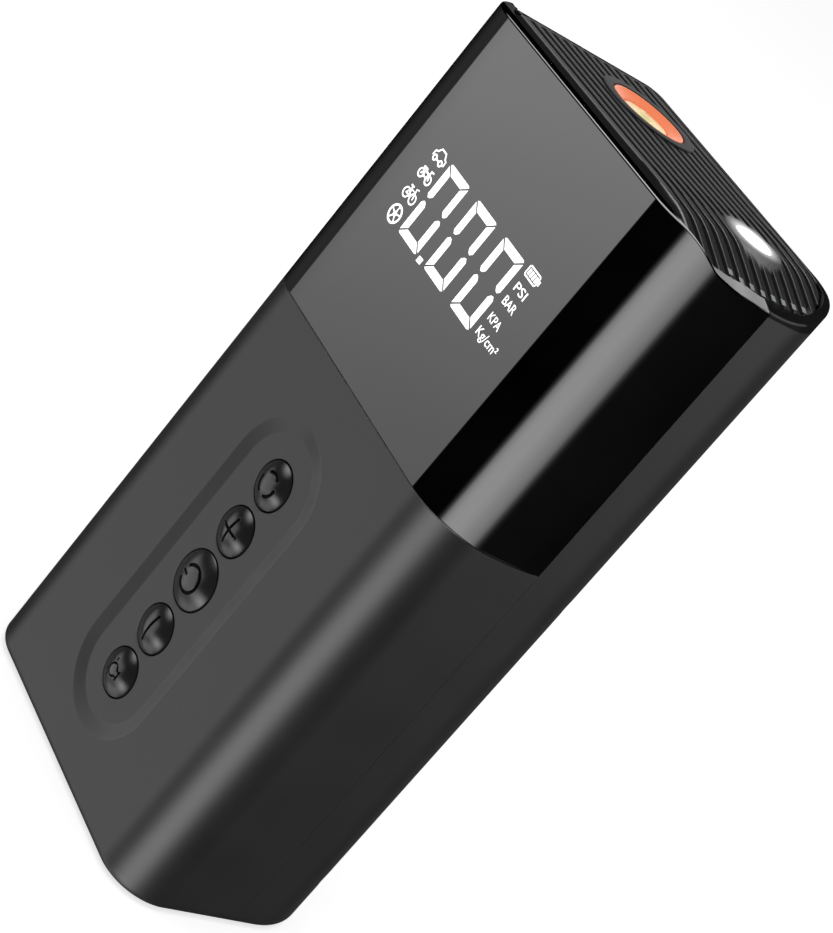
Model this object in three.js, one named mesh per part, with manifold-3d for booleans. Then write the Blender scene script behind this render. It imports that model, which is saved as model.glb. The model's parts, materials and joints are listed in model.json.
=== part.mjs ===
// Handheld cordless pump and power pack, in millimetres: +Z up, front face towards -Y.
// The origin is the centre of the base footprint, on the underside.
import * as THREE from 'three';
import { mergeVertices } from 'three/addons/utils/BufferGeometryUtils.js';
import Module from 'manifold-3d';

const wasm = await Module();
wasm.setup();
const { Manifold, Mesh: SolidMesh } = wasm;

// ---------------------------------------------------------------- driving dimensions
const WIDTH = 74.5; // x
const DEPTH = 49.6; // y, without the button domes
const FRONT_Y = -DEPTH / 2;
const TOP = 155; // height of the ribbed top
const PANEL_TOP = 155.7; // front edge of the glossy panel
const WALL = 2.4; // shell wall
const PANEL_WALL = 3.2;
const SPLIT_Y = 2.7; // front/rear parting plane
const GAP = 0.3; // clearance between neighbours
const CAP_SEAT_Z = 152.4; // the opening for the top cap starts here
const FEATURE_X = 0.6; // centre line of the keypad
const MIN_CORNER = 0.8; // smallest corner radius of an inset outline
const FAR = 60; // beyond the body in x and y, for cutting zones
const HIGH = 200; // above the body, for cutting zones

// Plan outlines: corner radii run front left, front right, back right, back left.
const BODY = {
  x: [-WIDTH / 2, WIDTH / 2],
  y: [-DEPTH / 2, DEPTH / 2],
  radii: [10.7, 10.7, 16.5, 3.5],
};
const CAP = { x: [-35.95, 33.75], y: [-21.3, 23.5], radii: [9.2, 7.4, 13, 2.3] };

// Upright axes and the parts on them
const HOSE = { x: -18.5, y: 8.2, radius: 7.9 };
const LAMP = { x: 19.9, y: 7.6, radius: 3.7 };
const MOTOR = { x: -17, y: 5, radius: 13.75, z0: 92, z1: 123 };
const SHAFT_BORE = 1.3; // hole radius of the parts on the rotor shaft
const TOOTH_MODULE = 0.6;
const PINION_TEETH = 10;
const GEAR_TEETH = 36;
const MESH_CLEARANCE = 0.15;
const GEAR = {
  x: MOTOR.x + TOOTH_MODULE * (PINION_TEETH + GEAR_TEETH) / 2 + MESH_CLEARANCE,
  y: MOTOR.y,
};
const CRANK_RADIUS = 4; // half the stroke
const PIN = { x: GEAR.x + CRANK_RADIUS, y: MOTOR.y }; // top dead centre
const AXLE_BORE = 1.65; // clearance hole radius around the axle and crank pin
const PUMP_Z = 132.3; // height of the cylinder axis
const OUTLET = { x: 31, y: MOTOR.y };

const CELL = { radius: 9.15, length: 65, pitch: 19.2, y: 9, z: 7.3 };
const USB_Z = 83; // centre height of the charging socket

const RECESS = { width: 26.1, height: 72.3, z: 45.6, depth: 0.7 }; // keypad
const BUTTON_PROUD = 1; // dome above the front plane
const BUTTON_RADIUS = 4.73;
const BUTTONS = [
  { key: 'mode', z: 69.1, radius: BUTTON_RADIUS },
  { key: 'plus', z: 57.8, radius: BUTTON_RADIUS },
  { key: 'power', z: RECESS.z, radius: 5.75 },
  { key: 'minus', z: 33.2, radius: BUTTON_RADIUS },
  { key: 'light', z: 22, radius: BUTTON_RADIUS },
];

const SCREW_X = 31.8;
const SCREWS = [12, 84].flatMap((z) => [-SCREW_X, SCREW_X].map((x) => ({ x, z })));

// ---------------------------------------------------------------- solid helpers
function solid(geometry) {
  geometry.deleteAttribute('normal');
  geometry.deleteAttribute('uv');
  const merged = mergeVertices(geometry, 1e-4);
  return new Manifold(new SolidMesh({
    numProp: 3,
    vertProperties: new Float32Array(merged.attributes.position.array),
    triVerts: new Uint32Array(merged.index.array),
  }));
}

function geometryOf(shape) {
  const { vertProperties, triVerts } = shape.getMesh();
  const indexed = new THREE.BufferGeometry();
  indexed.setAttribute('position', new THREE.BufferAttribute(vertProperties, 3));
  indexed.setIndex(new THREE.BufferAttribute(triVerts, 1));
  const flat = indexed.toNonIndexed();
  flat.computeVertexNormals();
  return flat;
}

const join = (...shapes) => shapes.reduce((a, b) => a.add(b));
const cut = (...shapes) => shapes.reduce((a, b) => a.subtract(b));
const common = (...shapes) => shapes.reduce((a, b) => a.intersect(b));
const around = (centre, half) => [centre - half, centre + half];

// Box from a [low, high] pair on each axis
function box([x0, x1], [y0, y1], [z0, z1]) {
  return solid(new THREE.BoxGeometry(x1 - x0, y1 - y0, z1 - z0)
    .translate((x0 + x1) / 2, (y0 + y1) / 2, (z0 + z1) / 2));
}

// Box that reaches past the whole body on every side that is not given
const zone = ({ x0 = -FAR, x1 = FAR, y0 = -FAR, y1 = FAR, z0 = -1, z1 = HIGH }) =>
  box([x0, x1], [y0, y1], [z0, z1]);

// Cylinders along each axis. The last argument is the segment count.
function cylZ(radius, z0, z1, { x, y }, segments = 24) {
  return solid(new THREE.CylinderGeometry(radius, radius, z1 - z0, segments)
    .rotateX(Math.PI / 2).translate(x, y, (z0 + z1) / 2));
}
function cylY(radius, y0, y1, x, z, segments) {
  return solid(new THREE.CylinderGeometry(radius, radius, y1 - y0, segments)
    .translate(x, (y0 + y1) / 2, z));
}
function pumpCyl(radius, x0, x1, segments = 24) { // on the pump axis, along x
  return solid(new THREE.CylinderGeometry(radius, radius, x1 - x0, segments)
    .rotateZ(Math.PI / 2).translate((x0 + x1) / 2, MOTOR.y, PUMP_Z));
}
const ringZ = (inner, outer, z0, z1, axis, segments) =>
  cut(cylZ(outer, z0, z1, axis, segments), cylZ(inner, z0 - 1, z1 + 1, axis, segments));

// Polygon extruded from z = 0 upwards
const shapeOf = (points) => new THREE.Shape(points.map(([a, b]) => new THREE.Vector2(a, b)));
const extrude = (points, depth) =>
  new THREE.ExtrudeGeometry(shapeOf(points), { depth, bevelEnabled: false });

// Polygon in x,y from z0 to z1
const prism = (points, z0, z1) => solid(extrude(points, z1 - z0).translate(0, 0, z0));

// Polygon in y,z from x0 to x1
function prismX(points, x0, x1) {
  const turn = new THREE.Matrix4().makeBasis(
    new THREE.Vector3(0, 1, 0), new THREE.Vector3(0, 0, 1), new THREE.Vector3(1, 0, 0));
  return solid(extrude(points, x1 - x0).applyMatrix4(turn).translate(x0, 0, 0));
}

// Polygon in x,z from y0 to y1
const prismY = (points, y0, y1) =>
  solid(extrude(points, y1 - y0).rotateX(Math.PI / 2).translate(0, y1, 0));

// Profile of [radius, height] pairs, run up the outside so that faces point outwards
const lathe = (profile, segments) =>
  new THREE.LatheGeometry(profile.map(([r, h]) => new THREE.Vector2(r, h)), segments);
const turned = (profile, { x, y }, segments) =>
  solid(lathe(profile, segments).rotateX(Math.PI / 2).translate(x, y, 0));

function arc(cx, cy, radius, start, span, steps) {
  return Array.from({ length: steps + 1 }, (_, i) => {
    const angle = start + (i / steps) * span;
    return [cx + radius * Math.cos(angle), cy + radius * Math.sin(angle)];
  });
}

// Rounded plan outline, inset on all sides; a negative inset grows it
function outline(inset, { x: [x0, x1], y: [y0, y1], radii } = BODY) {
  const [fl, fr, br, bl] = radii.map((r) => Math.max(MIN_CORNER, r - inset));
  const quarter = Math.PI / 2;
  return [
    ...arc(x0 + inset + fl, y0 + inset + fl, fl, 2 * quarter, quarter, 5),
    ...arc(x1 - inset - fr, y0 + inset + fr, fr, 3 * quarter, quarter, 5),
    ...arc(x1 - inset - br, y1 - inset - br, br, 0, quarter, 5),
    ...arc(x0 + inset + bl, y1 - inset - bl, bl, quarter, quarter, 5),
  ];
}
const core = (inset) => prism(outline(inset), 0, HIGH);
const capCore = (grow, z0) => prism(outline(-grow, CAP), z0, HIGH);

// Wall that follows the body outline between two insets
const band = (outer, inner, z0, z1) =>
  cut(prism(outline(outer), z0, z1), prism(outline(inner), z0 - 1, z1 + 1));
const baseFloor = () => prism(outline(0), 0, WALL);

// ---------------------------------------------------------------- measured edges
// Lower edge of the glossy panel, [y, z]: it drops a little towards the parting plane.
const PANEL_EDGE = [
  [-40, 92.3], [-24.8, 92.3], [-21.6, 92.1], [-16.7, 91.5], [-13, 90.85], [-8.7, 90.4],
  [-4.7, 90.1], [SPLIT_Y, 89.93], [40, 89.93],
];
// Everything between the panel edge, shifted by a z offset, and the height farZ
const panelZone = (offset, farZ) => prismX(
  [[-40, farZ], ...PANEL_EDGE.map(([y, z]) => [y, z + offset]), [40, farZ]], -FAR, FAR);

// Right-hand top edge, [y, z]: it dips between the two upright corners.
const DIP = [
  [-22.2, 155.7], [-19, 154.7], [-16.4, 153.5], [-14.2, 152.6], [-10.5, 151.8], [-6.7, 151.2],
  [-2.9, 151], [2, 150.8], [8.3, 150.85], [12.5, 151.5], [16.5, 152.7], [19.9, 153.9],
  [23, 154.7], [24.8, 155],
];
const dipCutter = () => prismX([[-22.2, 170], ...DIP, [40, 155], [40, 170]], 24, FAR);

// Ribbed top, [x, z]: flat, then rolling down to the right
const CAP_PROFILE = [
  [-60, TOP], [21, TOP], [24, 154.6], [27, 153.75], [30.5, 152.55], [34.5, 151.1],
];
const lowered = (points, drop) => points.map(([x, z]) => [x, z - drop]);

// ---------------------------------------------------------------- scene and finishes
const root = new THREE.Group();
root.name = 'power_pack';

// Columns: colour, roughness, metalness
const FINISHES = {
  shell: ['#262729', 0.62, 0],
  gloss: ['#08080a', 0.08, 0],
  cap: ['#2b2c2e', 0.6, 0],
  button: ['#101113', 0.25, 0],
  orange: ['#e8642a', 0.4, 0.2],
  brass: ['#d9b866', 0.28, 1],
  rubber: ['#1b1b1b', 0.85, 0],
  lens: ['#f4f6ff', 0.1, 0],
  white: ['#d9dadb', 0.55, 0],
  board: ['#1d5a38', 0.55, 0],
  black: ['#161618', 0.5, 0],
  cell: ['#2f6fb0', 0.45, 0],
  nickel: ['#b9bbb8', 0.3, 1],
  steel: ['#9a9ea2', 0.32, 1],
  copper: ['#a35c33', 0.4, 0.8],
  frame: ['#3a3c40', 0.6, 0],
  alu: ['#aeb1b5', 0.42, 1],
  acetal: ['#e9e6dc', 0.5, 0],
  magnet: ['#4b4d50', 0.6, 0.3],
  pipe: ['#cfd2d4', 0.5, 0],
};

function add(name, finish, shape) {
  const [color, roughness, metalness] = FINISHES[finish];
  const material = new THREE.MeshStandardMaterial({ color, roughness, metalness });
  const mesh = new THREE.Mesh(geometryOf(shape), material);
  mesh.name = name;
  root.add(mesh);
  return mesh;
}

// ---------------------------------------------------------------- shells
// Web from a screw boss out to the side wall
function screwWeb({ x, z }, reach, y0, y1) {
  const ends = [x, Math.sign(x) * reach].sort((a, b) => a - b);
  return box(ends, [y0, y1], around(z, 1.6));
}

// Upright slot shape around the keypad, smaller than the recess by `margin`
function keypadPocket(margin, depth) {
  const radius = (RECESS.width - margin) / 2;
  const offset = (RECESS.height - margin) / 2 - radius;
  return prismY([
    ...arc(FEATURE_X, RECESS.z + offset, radius, 0, Math.PI, 10),
    ...arc(FEATURE_X, RECESS.z - offset, radius, Math.PI, Math.PI, 10),
  ], -30, FRONT_Y + depth);
}

// Inner wall that stands behind the glossy panel
function panelCarrier(innerInset) {
  return cut(
    band(PANEL_WALL + GAP, innerInset, 86, 152.2),
    box([-25, 25], [-30, -15], [108.4, 139.6]), // display window
    zone({ x0: 15, z0: 145.4 }), // clears the rolled-down top
    zone({ x0: 29, y0: -7.6, y1: 10, z0: 119.4 })); // clears the cylinder head
}

function addFrontShell() {
  const innerInset = 5.2; // inner face of the shelf and panel carrier
  let shell = join(
    common(band(0, WALL, 0, 96), panelZone(-GAP, 0)),
    baseFloor(),
    band(1, innerInset, 82.5, 88.6), // shelf
    panelCarrier(innerInset));
  for (const screw of SCREWS) {
    const boss = cylY(2.6, -7, 6, screw.x, screw.z, 14);
    shell = join(shell, boss, screwWeb(screw, 35.4, -7, 6));
    shell = cut(shell, cylY(1.45, -5.6, 8, screw.x, screw.z, 10));
  }
  // The keypad recess goes down in two steps.
  shell = cut(shell, keypadPocket(1.6, RECESS.depth * 0.35), keypadPocket(5, RECESS.depth));
  for (const { z, radius } of BUTTONS) {
    shell = cut(shell, cylY(radius + 0.25, -30, -15, FEATURE_X, z, 20));
  }
  add('front_shell', 'shell', common(shell, zone({ y1: SPLIT_Y - GAP / 2 })));
}

function addRearShell() {
  let shell = join(
    band(0, WALL, 0, TOP),
    baseFloor(),
    common(band(0, 3.2, 146, PANEL_TOP), zone({ x0: 18 })), // wide rim on the right
    common(band(1, 3.9, 149.6, 152.2), zone({ x1: 14 }))); // ledge under the top
  for (const screw of SCREWS) {
    const { x, z } = screw;
    const boss = join(cylY(2.9, 0, 40, x, z, 14), screwWeb(screw, 36, 0, 40));
    shell = join(shell, common(boss, core(0.3)));
    // screw hole, then the wider bore for the head
    shell = cut(shell, cylY(1.55, -5, 40, x, z, 10), cylY(2.6, 14, 40, x, z, 16));
  }
  shell = cut(shell,
    dipCutter(),
    capCore(GAP, CAP_SEAT_Z),
    common(capCore(GAP, 147), zone({ x0: 20 })), // deeper where the top rolls down
    zone({ z0: TOP }),
    box([-4.85, 4.85], [15, 40], around(USB_Z, 1.85))); // charging port
  add('rear_shell', 'shell', common(shell, zone({ y0: SPLIT_Y + GAP / 2 })));
}

// Glossy panel, wrapped round the front and both sides
function addDisplayPanel() {
  const wall = common(
    band(0, PANEL_WALL, 85, PANEL_TOP),
    zone({ y1: SPLIT_Y - GAP / 2 }),
    panelZone(0, HIGH));
  add('display_panel', 'gloss', cut(wall,
    dipCutter(),
    capCore(0.25, CAP_SEAT_Z),
    zone({ x1: -34, y0: -17, z0: TOP }))); // level top on the left side
}

// ---------------------------------------------------------------- ribbed top
const RIB = { pitch: 2.943, y: 19.89, count: 12 }; // y is the rearmost groove
const GROOVE = { width: 1.2, depth: 1, left: -34.9, right: 34.5 };
const CAP_THICKNESS = 2.2;

function addTopCap() {
  const section = [...CAP_PROFILE, ...lowered(CAP_PROFILE, CAP_THICKNESS).reverse()];
  let cap = common(prismY(section, -40, 40), capCore(0, 100));
  const groove = [
    [GROOVE.left, 160],
    [GROOVE.left, TOP - GROOVE.depth],
    ...lowered(CAP_PROFILE.slice(1), GROOVE.depth),
    [GROOVE.right, 160],
  ];
  for (let k = 0; k < RIB.count; k++) {
    cap = cut(cap, prismY(groove, ...around(RIB.y - k * RIB.pitch, GROOVE.width / 2)));
  }
  // Plain collars around the hose socket and the lamp, then their holes
  cap = join(cap, cylZ(10.4, 153, TOP + 0.3, HOSE, 28), cylZ(6.6, 152.9, TOP + 0.25, LAMP));
  add('top_cap', 'cap', cut(cap,
    cylZ(HOSE.radius + 0.3, 140, 170, HOSE, 28),
    cylZ(LAMP.radius + 0.25, 140, 170, LAMP, 20)));
}

// ---------------------------------------------------------------- hose socket and work lamp
// Profiles are [radius, z].
function addHoseSocket() {
  add('hose_ring', 'orange', turned([
    [5.1, 151.4], [10, 151.4], [10, 152.5], [HOSE.radius, 152.5], [HOSE.radius, TOP],
    [7.5, 155.15], [7.1, TOP], [5.1, 154.2], [5.1, 151.4],
  ], HOSE, 28));
  add('hose_connector', 'brass', turned([
    [1.3, 149.4], [2.6, 149.4], [2.6, 151.1], [4.9, 151.1], [4.9, 154],
    [4.7, 154.2], [1.7, 154.2], [1.3, 153.8], [1.3, 149.4],
  ], HOSE, 24));
  add('connector_seal', 'rubber', turned([
    [2.8, 150.1], [4.6, 150.1], [4.6, 150.9], [2.8, 150.9], [2.8, 150.1],
  ], HOSE, 24));
}

function addLamp() {
  add('lamp_lens', 'lens', turned([
    [0, 151.4], [4.6, 151.4], [4.6, 151.95], [LAMP.radius, 151.95], [LAMP.radius, TOP],
    [3.1, 155.25], [1.8, 155.4], [0, 155.45],
  ], LAMP, 20));
  add('lamp_reflector', 'nickel', turned([
    [1.9, 149], [5.5, 149], [5.5, 151.2], [4.6, 151.2], [1.9, 149.6], [1.9, 149],
  ], LAMP, 20));
  add('lamp_led', 'lens', box(around(LAMP.x, 1.2), around(LAMP.y, 1.2), [149, 149.7]));
  add('lamp_board', 'white', cylZ(7, 147.6, 148.8, LAMP, 32));
}

// ---------------------------------------------------------------- keypad and boards
// Flanged cap with a spherical dome; heights are distances forward of y = 0
function buttonCap(radius) {
  const flange = { radius: radius + 0.55, back: 21.4, front: 22.2 };
  const domeBase = DEPTH / 2 - RECESS.depth + 0.05;
  const apex = DEPTH / 2 + BUTTON_PROUD;
  const rise = apex - domeBase;
  const sphere = (radius * radius + rise * rise) / (2 * rise);
  const profile = [
    [0, flange.back], [flange.radius, flange.back], [flange.radius, flange.front],
    [radius, flange.front], [radius, domeBase],
  ];
  const steps = 4;
  for (let i = 1; i <= steps; i++) {
    const angle = Math.asin(radius / sphere) * (1 - i / steps);
    profile.push([sphere * Math.sin(angle), apex - sphere + sphere * Math.cos(angle)]);
  }
  return solid(lathe(profile, 20));
}

function addKeypad() {
  for (const { key, z, radius } of BUTTONS) {
    const button = add(`${key}_button`, 'button', buttonCap(radius));
    button.rotation.x = Math.PI; // the dome points to the front
    button.position.set(FEATURE_X, 0, z);
    add(`${key}_switch`, 'black', join(
      box(around(FEATURE_X, 3), [-19.9, -17.6], around(z, 3)),
      cylY(1.6, -20.5, -19, FEATURE_X, z, 10)));
  }
}

function addFrontBoards() {
  add('control_board', 'board', cut(
    box([-27, 27], [-17.5, -15.9], [9, 80]),
    cylY(1.6, -20, -10, -23, 14, 12),
    cylY(1.6, -20, -10, 23, 14, 12)));
  add('pressure_sensor', 'black', join(
    box([14, 20], [-15.8, -12.6], [68, 74]),
    cylY(1.1, -13, -10.6, 17, 71, 8)));
  add('display_module', 'black', box([-24.5, 24.5], [-21, -17.8], [109, 139]));
}

// ---------------------------------------------------------------- cells and charging board
function cellBody(x) {
  const { radius, z, y } = CELL;
  const top = z + CELL.length;
  const shoulder = top - 0.9;
  return turned([
    [0, z], [radius - 0.5, z], [radius, z + 0.6], [radius, top - 1.4],
    [radius - 0.6, shoulder], [3.4, shoulder], [3.2, top], [0, top],
  ], { x, y }, 20);
}

// Plate across the cell ends with a lip along the front and the rear
function cellHolder(plateZ, lipZ) {
  const x = [-28.8, 28.8];
  return common(core(WALL + GAP), join(
    box(x, [-2.3, 20.5], plateZ),
    box(x, [-2.3, -0.5], lipZ),
    box(x, [18.6, 20.5], lipZ)));
}

function addBattery() {
  ['left', 'middle', 'right'].forEach((side, i) => {
    add(`cell_${side}`, 'cell', cellBody((i - 1) * CELL.pitch));
  });
  const trayBase = WALL + GAP;
  add('cell_tray', 'frame', cellHolder([trayBase, 6.5], [trayBase, 15]));
  add('cell_clip', 'frame', cellHolder([73.1, 76.4], [64, 76.4]));
  add('link_strip_lower', 'nickel', box([-23.5, 23.5], [5, 13], [6.7, 7]));
  add('link_strip_upper', 'nickel', box([-23.5, 23.5], [5, 13], [72.5, 72.8]));
  add('charge_board', 'board', box([-26, 26], [-12, 16.3], [79.5, 81.1]));
  add('usb_socket', 'steel', cut(
    box([-4.5, 4.5], [16.6, 24.3], around(USB_Z, 1.6)),
    box([-4.05, 4.05], [18.2, 30], around(USB_Z, 1.15))));
}

// ---------------------------------------------------------------- motor
const motorCyl = (radius, z0, z1, segments) => cylZ(radius, z0, z1, MOTOR, segments);
const motorRing = (inner, outer, z0, z1, segments) =>
  ringZ(inner, outer, z0, z1, MOTOR, segments);

// Equally spaced bars pointing out from the motor axis
function motorBars(count, firstStep, radial, halfWidth, height) {
  return Array.from({ length: count }, (_, i) =>
    box(radial, around(0, halfWidth), height)
      .rotate([0, 0, (i + firstStep) * 360 / count])
      .translate([MOTOR.x, MOTOR.y, 0]));
}

function magnet(start) {
  const span = Math.PI * 0.66;
  return prism([
    ...arc(MOTOR.x, MOTOR.y, 12.1, start, span, 9),
    ...arc(MOTOR.x, MOTOR.y, 10.3, start, span, 9).reverse(),
  ], 96, 118);
}

function addMotor() {
  const { radius, z0, z1 } = MOTOR;
  add('motor_can', 'steel', cut(
    motorCyl(radius, z0, z1, 30),
    motorCyl(radius - 1.4, z0 - 1, z1 - 1.6, 30),
    motorCyl(3.2, 100, 130, 18)));
  add('motor_end_bell', 'black', motorRing(3.2, radius - 1.6, 92.2, 94.4, 24));
  add('magnet_front', 'magnet', magnet(Math.PI * 1.17));
  add('magnet_rear', 'magnet', magnet(Math.PI * 0.17));
  add('armature', 'copper', cut(
    motorRing(SHAFT_BORE, 9.6, 97, 117, 24),
    ...motorBars(5, 0.5, [5.2, 12], 1.1, [96, 118])));
  add('rotor_shaft', 'steel', motorCyl(1.15, 86.7, 130.1, 14));
  add('shaft_bush_upper', 'brass', motorRing(SHAFT_BORE, 3, 121.2, 123.1, 16));
  add('shaft_bush_lower', 'brass', motorRing(SHAFT_BORE, 3, 92.2, 94.6, 16));
  add('cooling_fan', 'black', join(
    motorRing(SHAFT_BORE, 3.4, 86.9, 90.6, 16),
    ...motorBars(7, 0, [2.9, 12], 0.5, [87.1, 90.4]),
    motorRing(2.9, 12, 86.9, 87.6, 24)));
}

// ---------------------------------------------------------------- gears
// Involute spur gear. The first tooth is centred on angle `phase`; `thin` scales tooth width.
function spurGear({ teeth, phase, thin, axis, z0, z1 }) {
  const pitchRadius = TOOTH_MODULE * teeth / 2;
  const tip = pitchRadius + 0.8 * TOOTH_MODULE;
  const rootRadius = pitchRadius - 1.15 * TOOTH_MODULE;
  const pressureAngle = 20 * Math.PI / 180;
  const base = pitchRadius * Math.cos(pressureAngle);
  const involute = (angle) => Math.tan(angle) - angle;
  const halfAngle = Math.PI / (2 * teeth) * thin + involute(pressureAngle);

  // Half a tooth as [radius, half angle], from the root outwards
  const flank = [base + 1e-3, (base + tip) / 2, tip].map((r) =>
    [r, Math.max(0.02, halfAngle - involute(Math.acos(base / r)))]);
  // A straight foot is needed where the root lies well inside the base circle.
  if (rootRadius < base - 0.1) flank.unshift([rootRadius, halfAngle]);

  const points = [];
  for (let i = 0; i < teeth; i++) {
    const centre = phase + i * 2 * Math.PI / teeth;
    const polar = (r, angle) => points.push([r * Math.cos(angle), r * Math.sin(angle)]);
    for (const [r, half] of flank) polar(r, centre - half);
    for (const [r, half] of [...flank].reverse()) polar(r, centre + half);
  }
  return prism(points, z0, z1).translate([axis.x, axis.y, 0]);
}

function addGears() {
  const pinion = spurGear({
    teeth: PINION_TEETH, phase: 0, thin: 0.78, axis: MOTOR, z0: 126, z1: 130,
  });
  add('motor_pinion', 'brass', cut(pinion, motorCyl(SHAFT_BORE, 120, 135, 20)));

  const gear = spurGear({
    teeth: GEAR_TEETH, phase: Math.PI / GEAR_TEETH, thin: 0.8, axis: GEAR, z0: 126.3, z1: 129.7,
  });
  const holes = [0, 1, 2].map((i) => {
    const angle = i * 2 * Math.PI / 3;
    const centre = { x: GEAR.x + 6.6 * Math.cos(angle), y: GEAR.y + 6.6 * Math.sin(angle) };
    return cylZ(2.2, 120, 135, centre, 12);
  });
  add('crank_gear', 'acetal', cut(gear, cylZ(3.35, 120, 135, GEAR, 18), ...holes));
  add('gear_axle', 'steel', join(
    cylZ(1.5, 123.4, 129.6, GEAR, 14),
    cylZ(2.6, 125.65, 126.2, GEAR, 14)));
  add('gear_bearing', 'steel', ringZ(AXLE_BORE, 3.2, 126.5, 129.5, GEAR, 16));
}

// ---------------------------------------------------------------- pump
const BORE_RADIUS = 8;
const FLANGE_RADIUS = 11; // cylinder flange, fins and head

function addCrankAndPiston() {
  add('pump_frame', 'alu', cut(
    join(
      box([-31, 11], [-10, 19.5], [123.3, 125.5]),
      box([9.2, 11], [-6.5, 16.5], [123.3, 143.2])),
    motorCyl(4.2, 120, 130, 18),
    cylZ(AXLE_BORE, 120, 130, GEAR, 14),
    pumpCyl(8.7, 5, 15)));
  add('crank_pin', 'steel', cylZ(1.5, 130, 134.6, PIN, 14));
  add('rod_bearing', 'steel', ringZ(AXLE_BORE, 3.3, 130.8, 133.8, PIN, 16));
  // big end, rod and wobble piston in one piece
  const rod = join(
    cylZ(5, 130.6, 134, PIN, 20),
    box([PIN.x + 3, 24], around(PIN.y, 2.4), [130.8, 133.8]),
    pumpCyl(7.3, 23.6, 26.6));
  add('piston_rod', 'alu', cut(rod, cylZ(3.45, 120, 140, PIN, 16)));
  add('cup_seal', 'rubber', cut(pumpCyl(7.85, 26.75, 27.35), pumpCyl(3, 20, 30, 14)));
}

function addCylinder() {
  const fins = [16.6, 20.4, 24.2].map((x) => pumpCyl(FLANGE_RADIUS, x, x + 1.2));
  const body = join(pumpCyl(9.6, 11.2, 27.5), pumpCyl(FLANGE_RADIUS, 11.2, 13), ...fins);
  add('cylinder', 'alu', cut(body, pumpCyl(BORE_RADIUS, 0, 40)));
  add('valve_plate', 'steel', cut(pumpCyl(10.6, 27.7, 28.4), pumpCyl(1, 20, 40, 10)));
  add('valve_flap', 'rubber', pumpCyl(2.3, 28.55, 28.9, 14));
  const head = join(pumpCyl(FLANGE_RADIUS, 28.6, 33.2), cylZ(1.9, 141, 145.6, OUTLET, 14));
  add('cylinder_head', 'alu', cut(
    common(head, core(3.7)), // trimmed to stay inside the case
    pumpCyl(6, 20, 31.6, 18),
    cylZ(0.8, 135, 150, OUTLET, 8)));
}

// Centre line of the air pipe, [x, y, z], from the cylinder head to the hose connector
const PIPE_PATH = [
  [OUTLET.x, OUTLET.y, 145.9], [OUTLET.x, OUTLET.y, 146.6], [30.4, 8, 147.6],
  [28.6, 12.6, 147.3], [24.5, 16.2, 147], [10, 18.3, 146.5], [-8, 17, 146.5],
  [-16.5, 11.5, 146.4], [-18.6, 8.7, 147.6], [-18.7, 8.4, 149.1],
];

function addAirPipe() {
  const sides = 8;
  const section = shapeOf(arc(0, 0, 1.45, 0, 2 * Math.PI, sides).slice(0, sides));
  add('air_pipe', 'pipe', solid(new THREE.ExtrudeGeometry(section, {
    steps: 30,
    bevelEnabled: false,
    extrudePath: new THREE.CatmullRomCurve3(PIPE_PATH.map((p) => new THREE.Vector3(...p))),
  })));
}

// ---------------------------------------------------------------- case screws
// Driven from the back, with a cross slot in the head
function addScrews() {
  SCREWS.forEach(({ x, z }, i) => {
    add(`case_screw_${i + 1}`, 'steel', cut(
      join(cylY(1.2, -4.8, 15, x, z, 12), cylY(2.4, 14.1, 15.9, x, z, 16)),
      box(around(x, 1.3), [15.3, 18], around(z, 0.3)),
      box(around(x, 0.3), [15.3, 18], around(z, 1.3))));
  });
}

// ---------------------------------------------------------------- assembly
addFrontShell();
addRearShell();
addDisplayPanel();
addTopCap();
addHoseSocket();
addLamp();
addKeypad();
addFrontBoards();
addBattery();
addMotor();
addGears();
addCrankAndPiston();
addCylinder();
addAirPipe();
addScrews();

export default root;
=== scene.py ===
# A cordless air pump, standing upright. X is its width, the front with keypad and lit display
# faces -Y, and the ribbed top with hose socket and work lamp faces +Z.
# Dimensions are millimetres in the CAD frame; meshes are scaled to metres when they are made.
import json
import math
import bpy
import bmesh
import numpy as np
from mathutils import Vector, Matrix
from mathutils.geometry import tessellate_polygon


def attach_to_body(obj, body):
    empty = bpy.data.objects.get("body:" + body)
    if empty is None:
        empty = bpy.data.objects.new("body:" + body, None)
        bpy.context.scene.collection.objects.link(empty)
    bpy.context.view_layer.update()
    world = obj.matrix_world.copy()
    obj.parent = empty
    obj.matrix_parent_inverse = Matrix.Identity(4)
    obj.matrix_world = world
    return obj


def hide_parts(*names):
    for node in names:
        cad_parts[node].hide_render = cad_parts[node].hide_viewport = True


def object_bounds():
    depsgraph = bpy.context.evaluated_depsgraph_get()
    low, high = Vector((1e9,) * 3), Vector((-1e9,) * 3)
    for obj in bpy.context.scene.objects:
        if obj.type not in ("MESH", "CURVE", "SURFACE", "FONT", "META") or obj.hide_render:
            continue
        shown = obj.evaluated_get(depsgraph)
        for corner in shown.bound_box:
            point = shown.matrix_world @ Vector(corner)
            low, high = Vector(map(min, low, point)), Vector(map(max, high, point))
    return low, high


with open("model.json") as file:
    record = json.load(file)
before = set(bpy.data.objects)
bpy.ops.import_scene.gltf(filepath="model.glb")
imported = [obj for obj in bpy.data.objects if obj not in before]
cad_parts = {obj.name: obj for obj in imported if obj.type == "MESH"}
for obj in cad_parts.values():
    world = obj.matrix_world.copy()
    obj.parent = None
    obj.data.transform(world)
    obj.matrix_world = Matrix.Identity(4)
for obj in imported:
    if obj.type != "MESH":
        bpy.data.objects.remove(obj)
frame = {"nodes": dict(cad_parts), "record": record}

CAD_LO, CAD_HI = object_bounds()
MM = 0.001
PI = math.pi
SCENE = bpy.context.scene

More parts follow.
